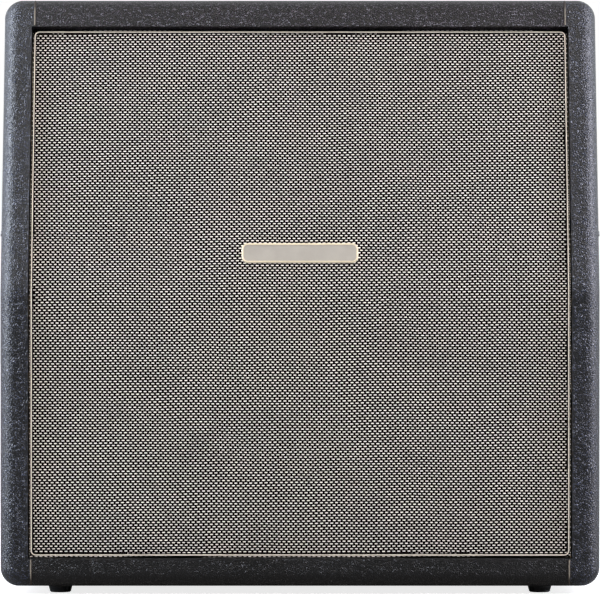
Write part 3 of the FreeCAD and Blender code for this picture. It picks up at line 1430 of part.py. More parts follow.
def tag_end(name, outer):
    sign, row = DRIVERS[name]
    facing = -1 if row == "lower" else 1
    side_sign = int(sign) if outer else -int(sign)
    frame = driver_frame(name)
    depth = size("board_front + tag_board_thickness + tag_thickness + lead_diameter / 2")
    spot = Vector(side_sign * size("tag_spacing / 2"), facing * size("tag_tip - lead_diameter"), depth)
    way = frame.Rotation.multVec(Vector(0, facing, 0))
    return frame.multVec(spot), way


leads = []
for sign, side in ((-1, "left"), (1, "right")):
    upper_outer, upper_way = tag_end("upper_" + side, True)
    lower_outer, lower_way = tag_end("lower_" + side, True)
    drop = size("lead_drop")
    leads.append(lead([upper_outer, upper_outer + upper_way * drop,
                       lower_outer + lower_way * drop, lower_outer]))
    lug_y = size("rear_face_y - jack_body_depth - lug_length / 2")
    for row, lift, back in (("upper", 1, "upper_lead_back"), ("lower", -1, "lower_lead_back")):
        start, way = tag_end(f"{row}_{side}", False)
        run = size("lead_drop") if row == "upper" else size("lead_rise")
        turn = start + way * run
        crossing_y = size(f"rear_inner_y - {back}")
        lug = Vector(sign * size("lug_spacing / 2"), lug_y,
                     size("jack_z") + lift * size("lug_thickness / 2 + lead_diameter / 2"))
        leads.append(lead([start, turn, Vector(turn.x, crossing_y, turn.z),
                           Vector(lug.x, crossing_y, lug.z), lug]))
keep(coded("lead_set", Part.makeCompound(leads)), "driver_leads", 6)

# Check and write the parts

doc.recompute()
for thing in doc.Objects:
    if "Invalid" in thing.State or "Error" in thing.State:
        raise ValueError(f"{thing.Name} did not build")
os.makedirs("parts", exist_ok=True)
for thing, label, solids in NODES:
    shape = thing.Shape
    if shape.isNull() or not shape.isValid():
        raise ValueError(f"{label} has no valid shape")
    if len(shape.Solids) != solids:
        raise ValueError(f"{label} has {len(shape.Solids)} solids where {solids} were meant")
    shape.exportStep(f"parts/{label}.step")
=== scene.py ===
import json
import math
import bmesh
import bpy
from mathutils import Matrix, Vector


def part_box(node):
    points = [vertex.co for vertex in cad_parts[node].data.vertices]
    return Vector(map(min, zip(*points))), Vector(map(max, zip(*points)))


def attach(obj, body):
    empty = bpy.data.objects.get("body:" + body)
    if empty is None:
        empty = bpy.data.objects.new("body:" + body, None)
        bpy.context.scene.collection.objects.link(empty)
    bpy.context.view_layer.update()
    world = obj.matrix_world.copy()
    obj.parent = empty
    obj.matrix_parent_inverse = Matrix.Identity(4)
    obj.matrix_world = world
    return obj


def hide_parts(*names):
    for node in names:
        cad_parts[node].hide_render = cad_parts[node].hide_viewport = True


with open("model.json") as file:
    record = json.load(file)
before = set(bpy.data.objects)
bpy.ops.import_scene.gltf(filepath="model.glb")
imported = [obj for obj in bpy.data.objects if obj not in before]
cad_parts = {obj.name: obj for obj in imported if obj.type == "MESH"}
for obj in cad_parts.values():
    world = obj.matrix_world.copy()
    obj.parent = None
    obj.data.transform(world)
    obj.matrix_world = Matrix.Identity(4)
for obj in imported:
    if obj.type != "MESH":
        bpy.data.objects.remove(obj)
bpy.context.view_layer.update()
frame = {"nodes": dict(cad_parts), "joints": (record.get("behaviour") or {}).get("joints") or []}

nodes = frame["nodes"]

# The case panels are birch plywood, finger-jointed at the corners and glued, with a plywood rear
# panel and two plywood baffles. The covering and the cloth hide them while the box is closed.

ring_stretch = (0.12, 1.0, 1.0)
ring_bend = 1.2
fibres_per_ring = 12.0
wood_roughness = (0.55, 0.8)
fibre_relief = 0.0002


def new_finish(name):
    material = bpy.data.materials.new(name)
    material.use_nodes = True
    return material, material.node_tree, material.node_tree.nodes["Principled BSDF"]


def add_node(tree, kind, **settings):
    node = tree.nodes.new(kind)
    for key, value in settings.items():
        setattr(node, key, value)
    return node


def math_node(tree, operation, *values):
    node = add_node(tree, "ShaderNodeMath", operation=operation)
    for socket, value in zip(node.inputs, values):
        if isinstance(value, (int, float)):
            socket.default_value = value
        else:
            tree.links.new(value, socket)
    return node.outputs[0]


def blend_colours(tree, mask, dark, light):
    ramp = add_node(tree, "ShaderNodeValToRGB")
    ramp.color_ramp.elements[0].color = (*dark, 1)
    ramp.color_ramp.elements[1].color = (*light, 1)
    tree.links.new(mask, ramp.inputs["Fac"])
    return ramp.outputs["Color"]


def spread(tree, mask, low, high):
    node = add_node(tree, "ShaderNodeMapRange")
    node.inputs["To Min"].default_value = low
    node.inputs["To Max"].default_value = high
    tree.links.new(mask, node.inputs["Value"])
    return node.outputs["Result"]


def raise_surface(tree, shader, height, relief):
    bump = add_node(tree, "ShaderNodeBump")
    bump.inputs["Strength"].default_value = 1.0
    bump.inputs["Distance"].default_value = relief
    tree.links.new(height, bump.inputs["Height"])
    tree.links.new(bump.outputs["Normal"], shader.inputs["Normal"])


def new_group(name, inputs, outputs):
    tree = bpy.data.node_groups.new(name, "ShaderNodeTree")
    for label, value in inputs.items():
        socket = tree.interface.new_socket(name=label, in_out="INPUT", socket_type="NodeSocketFloat")
        socket.default_value = value
    for label in outputs:
        tree.interface.new_socket(name=label, in_out="OUTPUT", socket_type="NodeSocketFloat")
    return tree, tree.nodes.new("NodeGroupInput"), tree.nodes.new("NodeGroupOutput")


def place_group(tree, group, **values):
    node = add_node(tree, "ShaderNodeGroup", node_tree=group)
    for label, value in values.items():
        node.inputs[label.replace("_", " ")].default_value = value
    return node


def dress(material, *names):
    for name in names:
        for slot in nodes[name].material_slots:
            slot.material = material


def wood_grain_group():
    tree, inside, out = new_group("wood_grain", {"Ring Width": 0.006}, ["Ring", "Fibre"])
    place = add_node(tree, "ShaderNodeTexCoord")
    scale = math_node(tree, "DIVIDE", 1.0, inside.outputs["Ring Width"])
    along_grain = add_node(tree, "ShaderNodeMapping")
    along_grain.inputs["Scale"].default_value = ring_stretch
    tree.links.new(place.outputs["Object"], along_grain.inputs["Vector"])
    rings = add_node(tree, "ShaderNodeTexNoise")
    rings.inputs["Detail"].default_value = 3
    rings.inputs["Distortion"].default_value = ring_bend
    fibre = add_node(tree, "ShaderNodeTexNoise")
    fibre.inputs["Detail"].default_value = 2
    tree.links.new(math_node(tree, "MULTIPLY", scale, fibres_per_ring), fibre.inputs["Scale"])
    tree.links.new(scale, rings.inputs["Scale"])
    for texture in (rings, fibre):
        tree.links.new(along_grain.outputs["Vector"], texture.inputs["Vector"])
    tree.links.new(rings.outputs["Fac"], out.inputs["Ring"])
    tree.links.new(fibre.outputs["Fac"], out.inputs["Fibre"])
    return tree


wood_grain = wood_grain_group()


def wood(name, dark, light, ring_width):
    material, tree, shader = new_finish(name)
    grain = place_group(tree, wood_grain, Ring_Width=ring_width)
    tree.links.new(blend_colours(tree, grain.outputs["Ring"], dark, light), shader.inputs["Base Color"])
    tree.links.new(spread(tree, grain.outputs["Fibre"], *wood_roughness), shader.inputs["Roughness"])
    raise_surface(tree, shader, grain.outputs["Fibre"], fibre_relief)
    return material


plywood = wood("plywood", dark=(0.42, 0.27, 0.13), light=(0.72, 0.55, 0.34), ring_width=0.010)
dress(plywood, "left_side_panel", "right_side_panel", "top_panel", "bottom_panel", "rear_panel",
      "lower_baffle", "upper_baffle")

# Softwood strips carry the front rim, battens hold the baffles and the rear panel, and a centre brace
# ties the baffle to the rear panel. All are planed, glued and pinned.

softwood = wood("softwood", dark=(0.50, 0.31, 0.13), light=(0.78, 0.58, 0.33), ring_width=0.007)
dress(softwood, "front_edge_strips", "baffle_battens", "rear_battens", "centre_brace")

# Four drivers: pressed steel baskets, pulp cones with dust caps, doped paper surrounds, resin-set
# cotton spiders, copper coils and ferrite magnets between plated iron, screwed to the baffles.

coarse_share = 0.12


def fine_grain_group():
    tree, inside, out = new_group("fine_grain", {"Grain Size": 0.002}, ["Mask", "Height"])
    place = add_node(tree, "ShaderNodeTexCoord")
    scale = math_node(tree, "DIVIDE", 1.0, inside.outputs["Grain Size"])
    coarse = add_node(tree, "ShaderNodeTexNoise")
    coarse.inputs["Detail"].default_value = 3
    fine = add_node(tree, "ShaderNodeTexNoise")
    fine.inputs["Detail"].default_value = 1
    tree.links.new(math_node(tree, "MULTIPLY", scale, coarse_share), coarse.inputs["Scale"])
    tree.links.new(scale, fine.inputs["Scale"])
    for texture in (coarse, fine):
        tree.links.new(place.outputs["Object"], texture.inputs["Vector"])
    tree.links.new(coarse.outputs["Fac"], out.inputs["Mask"])
    tree.links.new(fine.outputs["Fac"], out.inputs["Height"])
    return tree


fine_grain = fine_grain_group()


def grained(name, dark, light, grain_size, roughness, relief, metallic=0.0, shine=0.5):
    material, tree, shader = new_finish(name)
    grain = place_group(tree, fine_grain, Grain_Size=grain_size)
    tree.links.new(blend_colours(tree, grain.outputs["Mask"], dark, light), shader.inputs["Base Color"])
    tree.links.new(spread(tree, grain.outputs["Height"], *roughness), shader.inputs["Roughness"])
    shader.inputs["Metallic"].default_value = metallic
    shader.inputs["Specular IOR Level"].default_value = shine
    raise_surface(tree, shader, grain.outputs["Height"], relief)
    return material


screw_steel = grained("blackened_screw", dark=(0.035, 0.035, 0.037), light=(0.070, 0.070, 0.072),
                      grain_size=0.0006, roughness=(0.22, 0.38), relief=0.00004, metallic=1.0)
basket_paint = grained("basket_paint", dark=(0.10, 0.10, 0.105), light=(0.16, 0.16, 0.165),
                       grain_size=0.002, roughness=(0.35, 0.5), relief=0.00005)
cone_pulp = grained("cone_pulp", dark=(0.012, 0.011, 0.010), light=(0.03, 0.028, 0.025),
                    grain_size=0.0012, roughness=(0.75, 0.95), relief=0.0002)
doped_paper = grained("doped_paper", dark=(0.01, 0.01, 0.01), light=(0.02, 0.02, 0.02),
                      grain_size=0.001, roughness=(0.4, 0.6), relief=0.0001)
set_cotton = grained("set_cotton", dark=(0.35, 0.20, 0.06), light=(0.55, 0.36, 0.14),
                     grain_size=0.0008, roughness=(0.7, 0.9), relief=0.0002)
coil_copper = grained("coil_copper", dark=(0.55, 0.25, 0.12), light=(0.75, 0.40, 0.22),
                      grain_size=0.0004, roughness=(0.25, 0.4), relief=0.00005, metallic=0.9)
plated_iron = grained("plated_iron", dark=(0.45, 0.43, 0.36), light=(0.62, 0.60, 0.50),
                      grain_size=0.001, roughness=(0.25, 0.42), relief=0.00003, metallic=1.0)
ground_ferrite = grained("ground_ferrite", dark=(0.05, 0.05, 0.055), light=(0.09, 0.09, 0.095),
                         grain_size=0.0008, roughness=(0.5, 0.7), relief=0.00008)
fibre_board = grained("fibre_board", dark=(0.03, 0.027, 0.024), light=(0.06, 0.055, 0.05),
                      grain_size=0.001, roughness=(0.8, 0.95), relief=0.0002)
tinned_brass = grained("tinned_brass", dark=(0.60, 0.46, 0.20), light=(0.72, 0.60, 0.36),
                       grain_size=0.001, roughness=(0.22, 0.35), relief=0.00002, metallic=1.0)
lead_sleeve = grained("lead_sleeve", dark=(0.012, 0.012, 0.012), light=(0.025, 0.025, 0.025),
                      grain_size=0.002, roughness=(0.35, 0.5), relief=0.00005)

driver_finishes = {"basket": basket_paint, "cone": cone_pulp, "dust_cap": cone_pulp,
                   "surround": doped_paper, "spider": set_cotton, "voice_coil": coil_copper}
for driver in ("lower_left", "lower_right", "upper_left", "upper_right"):
    for piece, finish in driver_finishes.items():
        dress(finish, f"{piece}_{driver}")
dress(plated_iron, "magnet_top_plates", "magnet_yokes")
dress(ground_ferrite, "magnet_rings")
dress(fibre_board, "driver_gaskets")
dress(tinned_brass, "driver_terminals")
dress(lead_sleeve, "driver_leads")
dress(screw_steel, "driver_screws")

# Vinyl leathercloth, glued round the box in four pieces that meet under the seam piping, and once
# more over the rear panel. Its grain is pressed: small uneven pebbles with fine creases between.
# The three copies are lit and shaded copies of one vinyl: the sides are painted bluish as a painted sheen,
# the top lighter and purplish as painted light, and the bottom darker as painted shade. The top and bottom
# copies are also given less shine than the sides.

pebble_size = 0.0028
lowest_pebble = 0.35
valley_edge = 0.0
crown_edge = 0.34
wander_share = 0.35
crease_size = 0.0009
crease_share = 0.2
patches_per_metre = 9
painted_sheen_range = (-0.35, 1.1)
pebble_roughness = (0.38, 0.12)
worn_roughness = 0.16


def pebble_grain_group():
    tree, inside, out = new_group("pebble_grain", {"Pebble Size": pebble_size}, ["Dome", "Crease", "Patch"])
    place = add_node(tree, "ShaderNodeTexCoord")
    scale = math_node(tree, "DIVIDE", 1.0, inside.outputs["Pebble Size"])
    drift = add_node(tree, "ShaderNodeTexNoise")
    drift.inputs["Detail"].default_value = 2
    tree.links.new(math_node(tree, "MULTIPLY", scale, wander_share), drift.inputs["Scale"])
    drift_amount = add_node(tree, "ShaderNodeVectorMath", operation="SCALE")
    drift_amount.inputs["Scale"].default_value = pebble_size
    wander = add_node(tree, "ShaderNodeVectorMath", operation="ADD")
    pebbles = add_node(tree, "ShaderNodeTexVoronoi", feature="DISTANCE_TO_EDGE")
    cells = add_node(tree, "ShaderNodeTexVoronoi", feature="F1")
    for texture in (pebbles, cells):
        tree.links.new(scale, texture.inputs["Scale"])
        tree.links.new(wander.outputs["Vector"], texture.inputs["Vector"])
    cell_tone = add_node(tree, "ShaderNodeSeparateColor")
    tree.links.new(cells.outputs["Color"], cell_tone.inputs["Color"])
    creases = add_node(tree, "ShaderNodeTexNoise")
    creases.inputs["Scale"].default_value = 1 / crease_size
    creases.inputs["Detail"].default_value = 2
    patches = add_node(tree, "ShaderNodeTexNoise")
    patches.inputs["Scale"].default_value = patches_per_metre
    patches.inputs["Detail"].default_value = 3
    tree.links.new(drift.outputs["Color"], drift_amount.inputs[0])
    tree.links.new(place.outputs["Object"], wander.inputs[0])
    tree.links.new(drift_amount.outputs["Vector"], wander.inputs[1])
    for texture in (drift, creases, patches):
        tree.links.new(place.outputs["Object"], texture.inputs["Vector"])
    dome = add_node(tree, "ShaderNodeMapRange", interpolation_type="SMOOTHSTEP")
    dome.inputs["From Min"].default_value = valley_edge
    dome.inputs["From Max"].default_value = crown_edge
    tree.links.new(pebbles.outputs["Distance"], dome.inputs["Value"])
    pebble_height = spread(tree, cell_tone.outputs["Red"], lowest_pebble, 1.0)
    height = math_node(tree, "MULTIPLY", dome.outputs["Result"], pebble_height)
    tree.links.new(height, out.inputs["Dome"])
    tree.links.new(creases.outputs["Fac"], out.inputs["Crease"])
    tree.links.new(patches.outputs["Fac"], out.inputs["Patch"])
    return tree


pebble_grain = pebble_grain_group()


def vinyl(name, valley_painted_shade, crown_painted_sheen, shine, relief):
    material, tree, shader = new_finish(name)
    grain = place_group(tree, pebble_grain)
    # The colour runs from dark in the valleys to light on the crowns: painted shade in the valleys and a
    # painted sheen on the crowns.
    tone = spread(tree, grain.outputs["Dome"], *painted_sheen_range)
    tree.links.new(blend_colours(tree, tone, valley_painted_shade, crown_painted_sheen), shader.inputs["Base Color"])
    worn = math_node(tree, "MULTIPLY", grain.outputs["Patch"], worn_roughness)
    smooth = spread(tree, grain.outputs["Dome"], *pebble_roughness)
    tree.links.new(math_node(tree, "ADD", smooth, worn), shader.inputs["Roughness"])
    shader.inputs["Specular IOR Level"].default_value = shine
    fine = math_node(tree, "MULTIPLY", grain.outputs["Crease"], crease_share)
    raise_surface(tree, shader, math_node(tree, "ADD", grain.outputs["Dome"], fine), relief)
    return material


# Lit and shaded copies: painted bluish sheen on the sides, painted lighter tone on the top, painted shade on
# the bottom.
side_vinyl_painted_blue_sheen = vinyl("side_vinyl_painted_blue_sheen", valley_painted_shade=(0.0004, 0.0005, 0.0009), crown_painted_sheen=(0.0280, 0.0340, 0.0600),
                   shine=0.20, relief=0.0005)
top_vinyl_painted_light = vinyl("top_vinyl_painted_light", valley_painted_shade=(0.0006, 0.0005, 0.0008), crown_painted_sheen=(0.0460, 0.0370, 0.0510),
                  shine=0.15, relief=0.0005)
bottom_vinyl_painted_shade = vinyl("bottom_vinyl_painted_shade", valley_painted_shade=(0.0024, 0.0022, 0.0022), crown_painted_sheen=(0.0090, 0.0086, 0.0086),
                     shine=0.15, relief=0.0005)
dress(side_vinyl_painted_blue_sheen, "left_side_covering", "right_side_covering", "rear_panel_covering")
dress(top_vinyl_painted_light, "top_covering")
dress(bottom_vinyl_painted_shade, "bottom_covering")

# Rear panel, handle, jack and foot screws: blackened pan heads with a cross recess, driven into the
# wood. One is modelled for each size and copied to every hole, each turned differently.

weld_distance = 0.000001
flat_facing = 0.9
head_sides = 28
crown_share = 0.55
crown_steps = 4
tip_share = 0.25
slot_length_share = 1.15
slot_width_share = 0.24
slot_depth_share = 0.6
slot_taper_share = 0.55
screw_turn = math.radians(137)
screw_edge_angle = math.radians(35)


def start_piece(name):
    piece = bpy.context.object
    piece.name = name
    piece.data.name = name
    bpy.ops.object.transform_apply(location=True, rotation=True, scale=True)
    return piece


def pick(piece, kind, test):
    # Leaves the piece in edit mode with only those faces or vertices selected
    bpy.ops.object.mode_set(mode="EDIT")
    bpy.ops.mesh.select_mode(type=kind)
    bpy.ops.mesh.select_all(action="DESELECT")
    bpy.ops.object.mode_set(mode="OBJECT")
    items = piece.data.polygons if kind == "FACE" else piece.data.vertices
    items.foreach_set("select", [test(item) for item in items])
    bpy.ops.object.mode_set(mode="EDIT")


def leave_edit():
    bpy.ops.object.mode_set(mode="OBJECT")


def only(piece):
    bpy.ops.object.select_all(action="DESELECT")
    piece.select_set(True)
    bpy.context.view_layer.objects.active = piece


def apply_modifiers(piece):
    only(piece)
    for modifier in list(piece.modifiers):
        bpy.ops.object.modifier_apply(modifier=modifier.name)


def settle(piece, material, slot, *replaced):
    piece.data.materials.clear()
    piece.data.materials.append(material)
    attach(piece, "cabinet")
    if replaced:
        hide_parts(*replaced)


def solid_boxes(node):
    # The box of each separate solid in a node
    mesh = bmesh.new()
    mesh.from_mesh(nodes[node].data)
    bmesh.ops.remove_doubles(mesh, verts=mesh.verts, dist=weld_distance)
    waiting = set(mesh.verts)
    boxes = []
    while waiting:
        solid = [waiting.pop()]
        for vertex in solid:
            for link in vertex.link_edges:
                other = link.other_vert(vertex)
                if other in waiting:
                    waiting.remove(other)
                    solid.append(other)
        places = [vertex.co for vertex in solid]
        low = Vector([min(place[axis] for place in places) for axis in range(3)])
        high = Vector([max(place[axis] for place in places) for axis in range(3)])
        boxes.append((low, high))
    mesh.free()
    return sorted(boxes, key=lambda box: [round(value, 4) for value in box[0]])


def screw_model(name, head_radius, head_height, shank_radius, length):
    # The underside of the head is at zero, its crown points along +Z
    bpy.ops.object.select_all(action="DESELECT")
    bpy.ops.mesh.primitive_cylinder_add(vertices=head_sides, radius=head_radius, depth=head_height,
                                        location=(0, 0, head_height / 2))
    screw = start_piece(name)
    pick(screw, "FACE", lambda face: face.normal.z > flat_facing)
    bpy.ops.mesh.bevel(offset=head_height * crown_share, segments=crown_steps, affect="EDGES")
    leave_edit()
    pick(screw, "FACE", lambda face: face.normal.z < -flat_facing)
    bpy.ops.mesh.inset(thickness=head_radius - shank_radius)
    bpy.ops.mesh.extrude_region_move(TRANSFORM_OT_translate={"value": (0, 0, shank_radius - length)})
    bpy.ops.mesh.extrude_region_move(TRANSFORM_OT_translate={"value": (0, 0, -shank_radius)})
    bpy.ops.transform.resize(value=(tip_share, tip_share, 1))
    leave_edit()

    bpy.ops.object.select_all(action="DESELECT")
    bpy.ops.mesh.primitive_cube_add(size=1, location=(0, 0, head_height))
    bpy.ops.transform.resize(value=(head_radius * slot_length_share, head_radius * slot_width_share,
                                    head_height * slot_depth_share * 2))
    cross = start_piece(name + "_cross")
    pick(cross, "FACE", lambda face: face.normal.z < -flat_facing)
    bpy.ops.transform.resize(value=(slot_taper_share, slot_taper_share, 1))
    bpy.ops.mesh.select_all(action="SELECT")
    bpy.ops.mesh.duplicate()
    bpy.ops.transform.rotate(value=math.pi / 2, orient_axis="Z", center_override=(0, 0, 0))
    leave_edit()
    recess = screw.modifiers.new("recess", "BOOLEAN")
    recess.operation = "DIFFERENCE"
    recess.object = cross
    recess.use_self = True
    apply_modifiers(screw)
    bpy.data.objects.remove(cross)
    only(screw)
    bpy.ops.object.shade_smooth_by_angle(angle=screw_edge_angle)
    return screw


def drive_screws(model, places, name):
    # A place is the point under the middle of the head and the way that the head faces
    bpy.ops.object.select_all(action="DESELECT")
    for number, (point, way) in enumerate(places):
        screw = model.copy()
        screw.data = model.data.copy()
        bpy.context.scene.collection.objects.link(screw)
        facing = Vector(way).to_track_quat("Z", "Y").to_matrix().to_4x4()
        screw.matrix_world = Matrix.Translation(point) @ facing @ Matrix.Rotation(number * screw_turn, 4, "Z")
        screw.select_set(True)
        bpy.context.view_layer.objects.active = screw
    bpy.ops.object.join()
    bpy.data.objects.remove(model)
    return start_piece(name)


rear_head_radius = 0.0055
rear_head_height = 0.0032
rear_places = []
for low, high in solid_boxes("rear_panel_screws"):
    middle = (low + high) / 2
    rear_places.append((Vector((middle.x, high.y - rear_head_height, middle.z)), (0, 1, 0)))
rear_model = screw_model("rear_screw", rear_head_radius, rear_head_height, shank_radius=0.0025, length=0.032)
rear_screws = drive_screws(rear_model, rear_places, "rear_screw_set")
settle(rear_screws, screw_steel, "screw_black", "rear_panel_screws")

trim_head_radius = 0.0037
trim_head_height = 0.0024
trim_places = []
for low, high in solid_boxes("handle_and_jack_screws"):
    middle = (low + high) / 2
    if high.x - low.x > high.y - low.y:
        side = math.copysign(1, middle.x)
        seat = max(abs(low.x), abs(high.x)) - trim_head_height
        trim_places.append((Vector((side * seat, middle.y, middle.z)), (side, 0, 0)))
    else:
        trim_places.append((Vector((middle.x, high.y - trim_head_height, middle.z)), (0, 1, 0)))
trim_model = screw_model("trim_screw", trim_head_radius, trim_head_height, shank_radius=0.0018, length=0.013)
trim_screws = drive_screws(trim_model, trim_places, "trim_screw_set")
settle(trim_screws, screw_steel, "screw_black", "handle_and_jack_screws")

foot_head_radius = 0.0045
foot_head_height = 0.003
foot_places = []
for low, high in solid_boxes("foot_screws"):
    middle = (low + high) / 2
    foot_places.append((Vector((middle.x, middle.y, low.z + foot_head_height)), (0, 0, -1)))
foot_model = screw_model("foot_screw", foot_head_radius, foot_head_height, shank_radius=0.0022, length=0.018)
foot_screws = drive_screws(foot_model, foot_places, "foot_screw_set")
settle(foot_screws, screw_steel, "screw_black", "foot_screws")

# Jack plate: pressed steel with a black powder coat, screwed over a hole in the rear panel.
# Its moulded socket is held from outside by a nickelled hexagon nut.

powder_coat = grained("powder_coat", dark=(0.010, 0.010, 0.011), light=(0.018, 0.018, 0.019),
                      grain_size=0.0007, roughness=(0.42, 0.6), relief=0.00008)
jack_moulding = grained("jack_moulding", dark=(0.010, 0.010, 0.010), light=(0.016, 0.016, 0.016),
                        grain_size=0.0015, roughness=(0.3, 0.42), relief=0.00003)
nickel_plate = grained("nickel_plate", dark=(0.62, 0.60, 0.56), light=(0.75, 0.73, 0.69),
                       grain_size=0.0012, roughness=(0.12, 0.24), relief=0.00001, metallic=1.0)
dress(powder_coat, "jack_plate")
dress(jack_moulding, "jack_socket")
dress(nickel_plate, "jack_nut")

# Side handles: a tray and a bar moulded in one piece of black plastic with a fine spark texture,
# let into a cut-out in each side panel and screwed on through the rim.

handle_moulding = grained("handle_moulding", dark=(0.004, 0.004, 0.0045), light=(0.009, 0.009, 0.010),
                          grain_size=0.0009, roughness=(0.38, 0.56), relief=0.0002, shine=0.15)
dress(handle_moulding, "left_handle", "right_handle")

# Four round feet of black rubber, moulded with a sunk hole, each held by one screw that goes up
# into the bottom panel.

foot_rubber = grained("foot_rubber", dark=(0.006, 0.006, 0.006), light=(0.014, 0.014, 0.014),
                      grain_size=0.0012, roughness=(0.55, 0.8), relief=0.00008)
dress(foot_rubber, "rubber_feet")

# Grille cloth, stretched over the two baffles and turned back round their edges: black yarn with
# off-white floats that lie over it in staggered rows, like bricks.

bend_height = 0.3905
bend_radius = 0.060
fold_count = 6
cloth_thickness = 0.001
turn_back = 0.018
turned_edge_radius = 0.0012
turned_edge_angle = math.radians(60)
cloth_edge_angle = math.radians(40)

cloth_low, cloth_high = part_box("grille_cloth")
rim_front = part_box("bottom_covering")[0].y
upper_axis = [joint["axis"] for joint in frame["joints"] if joint["name"] == "cone_travel_upper_left"][0]
slant = math.atan2(upper_axis[2], -upper_axis[1])
cloth_front = cloth_low.y
recess_depth = cloth_front - rim_front
cloth_radius = bend_radius - recess_depth
bend_reach = cloth_radius * math.tan(slant / 2)
bend_arc = cloth_radius * slant
fold_line = bend_height - recess_depth * math.tan(slant / 2)
fold_start = fold_line - bend_reach
upper_length = (cloth_high.z - fold_line) / math.cos(slant) - bend_reach
flat_top = fold_start + bend_arc + upper_length
cloth_width = cloth_high.x - cloth_low.x
cloth_length = flat_top - cloth_low.z
fold_heights = [fold_start + bend_arc * (number + 0.5) / fold_count for number in range(fold_count)]


def fold_over_bend(piece):
    # Turns the flat piece back, fold by fold, above each line of the bend
    flat_heights = [vertex.co.z for vertex in piece.data.vertices]
    pivot = Vector((0, cloth_front, fold_heights[0]))
    only(piece)
    for number, height in enumerate(fold_heights):
        pick(piece, "VERT", lambda vertex: flat_heights[vertex.index] > height + weld_distance)
        bpy.ops.transform.rotate(value=slant / fold_count, orient_axis="X", center_override=pivot)
        leave_edit()
        turned = slant * (number + 1) / fold_count
        pivot = pivot + Vector((0, math.sin(turned), math.cos(turned))) * (bend_arc / fold_count)


bpy.ops.object.select_all(action="DESELECT")
bpy.ops.mesh.primitive_plane_add(size=1, location=(0, cloth_front, (cloth_low.z + flat_top) / 2),
                                 rotation=(math.pi / 2, 0, 0))
bpy.ops.transform.resize(value=(cloth_width, 1, cloth_length))
cloth = start_piece("grille_cloth_sheet")
bpy.ops.object.mode_set(mode="EDIT")
bpy.ops.mesh.select_all(action="SELECT")
for height in fold_heights:
    bpy.ops.mesh.bisect(plane_co=(0, cloth_front, height), plane_no=(0, 0, 1))
    bpy.ops.mesh.select_all(action="SELECT")
bpy.ops.mesh.region_to_loop()
bpy.ops.mesh.extrude_region_move(TRANSFORM_OT_translate={"value": (0, turn_back, 0)})
bpy.ops.mesh.select_all(action="SELECT")
bpy.ops.mesh.normals_make_consistent(inside=False)
leave_edit()
fold_over_bend(cloth)
edge_round = cloth.modifiers.new("turned_edge", "BEVEL")
edge_round.width = turned_edge_radius
edge_round.segments = 2
edge_round.limit_method = "ANGLE"
edge_round.angle_limit = turned_edge_angle
thickness = cloth.modifiers.new("thickness", "SOLIDIFY")
thickness.thickness = cloth_thickness
thickness.offset = -1
apply_modifiers(cloth)
bpy.ops.object.shade_smooth_by_angle(angle=cloth_edge_angle)

float_period = 0.00642
row_step = 0.00329
row_tilt = math.radians(0.45)
float_length = 0.0041
float_width = 0.0018
float_rise = 0.00055
float_sink = 0.0003
float_sides = 8
float_crown_shares = (0.84, 1, 0.62)
band_count = 4
spare_rows = 3
spare_floats = 2
pressed_from = 0.0014
pressed_to = 0.0050
pressed_depth = 0.0009
wide_drift = {"size": 0.09, "Z": 0.003, "X": 0.005}
close_drift = {"size": 0.006, "Z": 0.0003, "X": 0.0005}

yarn_gap = 0.0006
yarn_relief = 0.0004
yarn_shade = (0.0022, 0.0016, 0.0014)
yarn_black = (0.0060, 0.0048, 0.0042)
float_shade = (0.60, 0.55, 0.51)
float_white = (0.97, 0.92, 0.88)
strand_stretch = (0.08, 1, 1)
strands_per_metre = 5000
strand_relief = 0.0001

black_yarn, tree, shader = new_finish("black_yarn")
place = add_node(tree, "ShaderNodeTexCoord")
split = add_node(tree, "ShaderNodeSeparateXYZ")
flat_place = add_node(tree, "ShaderNodeCombineXYZ")
weave = add_node(tree, "ShaderNodeTexBrick", offset=0.5)
weave.inputs["Scale"].default_value = 1.0
weave.inputs["Brick Width"].default_value = float_period
weave.inputs["Row Height"].default_value = row_step
weave.inputs["Mortar Size"].default_value = yarn_gap
weave.inputs["Mortar Smooth"].default_value = 1.0
tree.links.new(place.outputs["Object"], split.inputs["Vector"])
tree.links.new(split.outputs["X"], flat_place.inputs["X"])
tree.links.new(split.outputs["Z"], flat_place.inputs["Y"])
tree.links.new(flat_place.outputs["Vector"], weave.inputs["Vector"])
tree.links.new(blend_colours(tree, weave.outputs["Fac"], yarn_shade, yarn_black), shader.inputs["Base Color"])
shader.inputs["Roughness"].default_value = 0.9
shader.inputs["Specular IOR Level"].default_value = 0.04
raise_surface(tree, shader, weave.outputs["Fac"], yarn_relief)

white_yarn, tree, shader = new_finish("white_yarn")
place = add_node(tree, "ShaderNodeTexCoord")
tone = add_node(tree, "ShaderNodeTexNoise")
tone.inputs["Scale"].default_value = 1 / float_period
tone.inputs["Detail"].default_value = 1
strands = add_node(tree, "ShaderNodeMapping")
strands.inputs["Scale"].default_value = strand_stretch
fibre = add_node(tree, "ShaderNodeTexNoise")
fibre.inputs["Scale"].default_value = strands_per_metre
tree.links.new(place.outputs["Object"], tone.inputs["Vector"])
tree.links.new(place.outputs["Object"], strands.inputs["Vector"])
tree.links.new(strands.outputs["Vector"], fibre.inputs["Vector"])
tree.links.new(blend_colours(tree, tone.outputs["Fac"], float_shade, float_white),
               shader.inputs["Base Color"])
shader.inputs["Roughness"].default_value = 0.75
raise_surface(tree, shader, fibre.outputs["Fac"], strand_relief)

cloth_wave = bpy.data.textures.new("cloth_wave", "CLOUDS")
cloth_wave.noise_scale = wide_drift["size"]
yarn_unevenness = bpy.data.textures.new("yarn_unevenness", "CLOUDS")
yarn_unevenness.noise_scale = close_drift["size"]


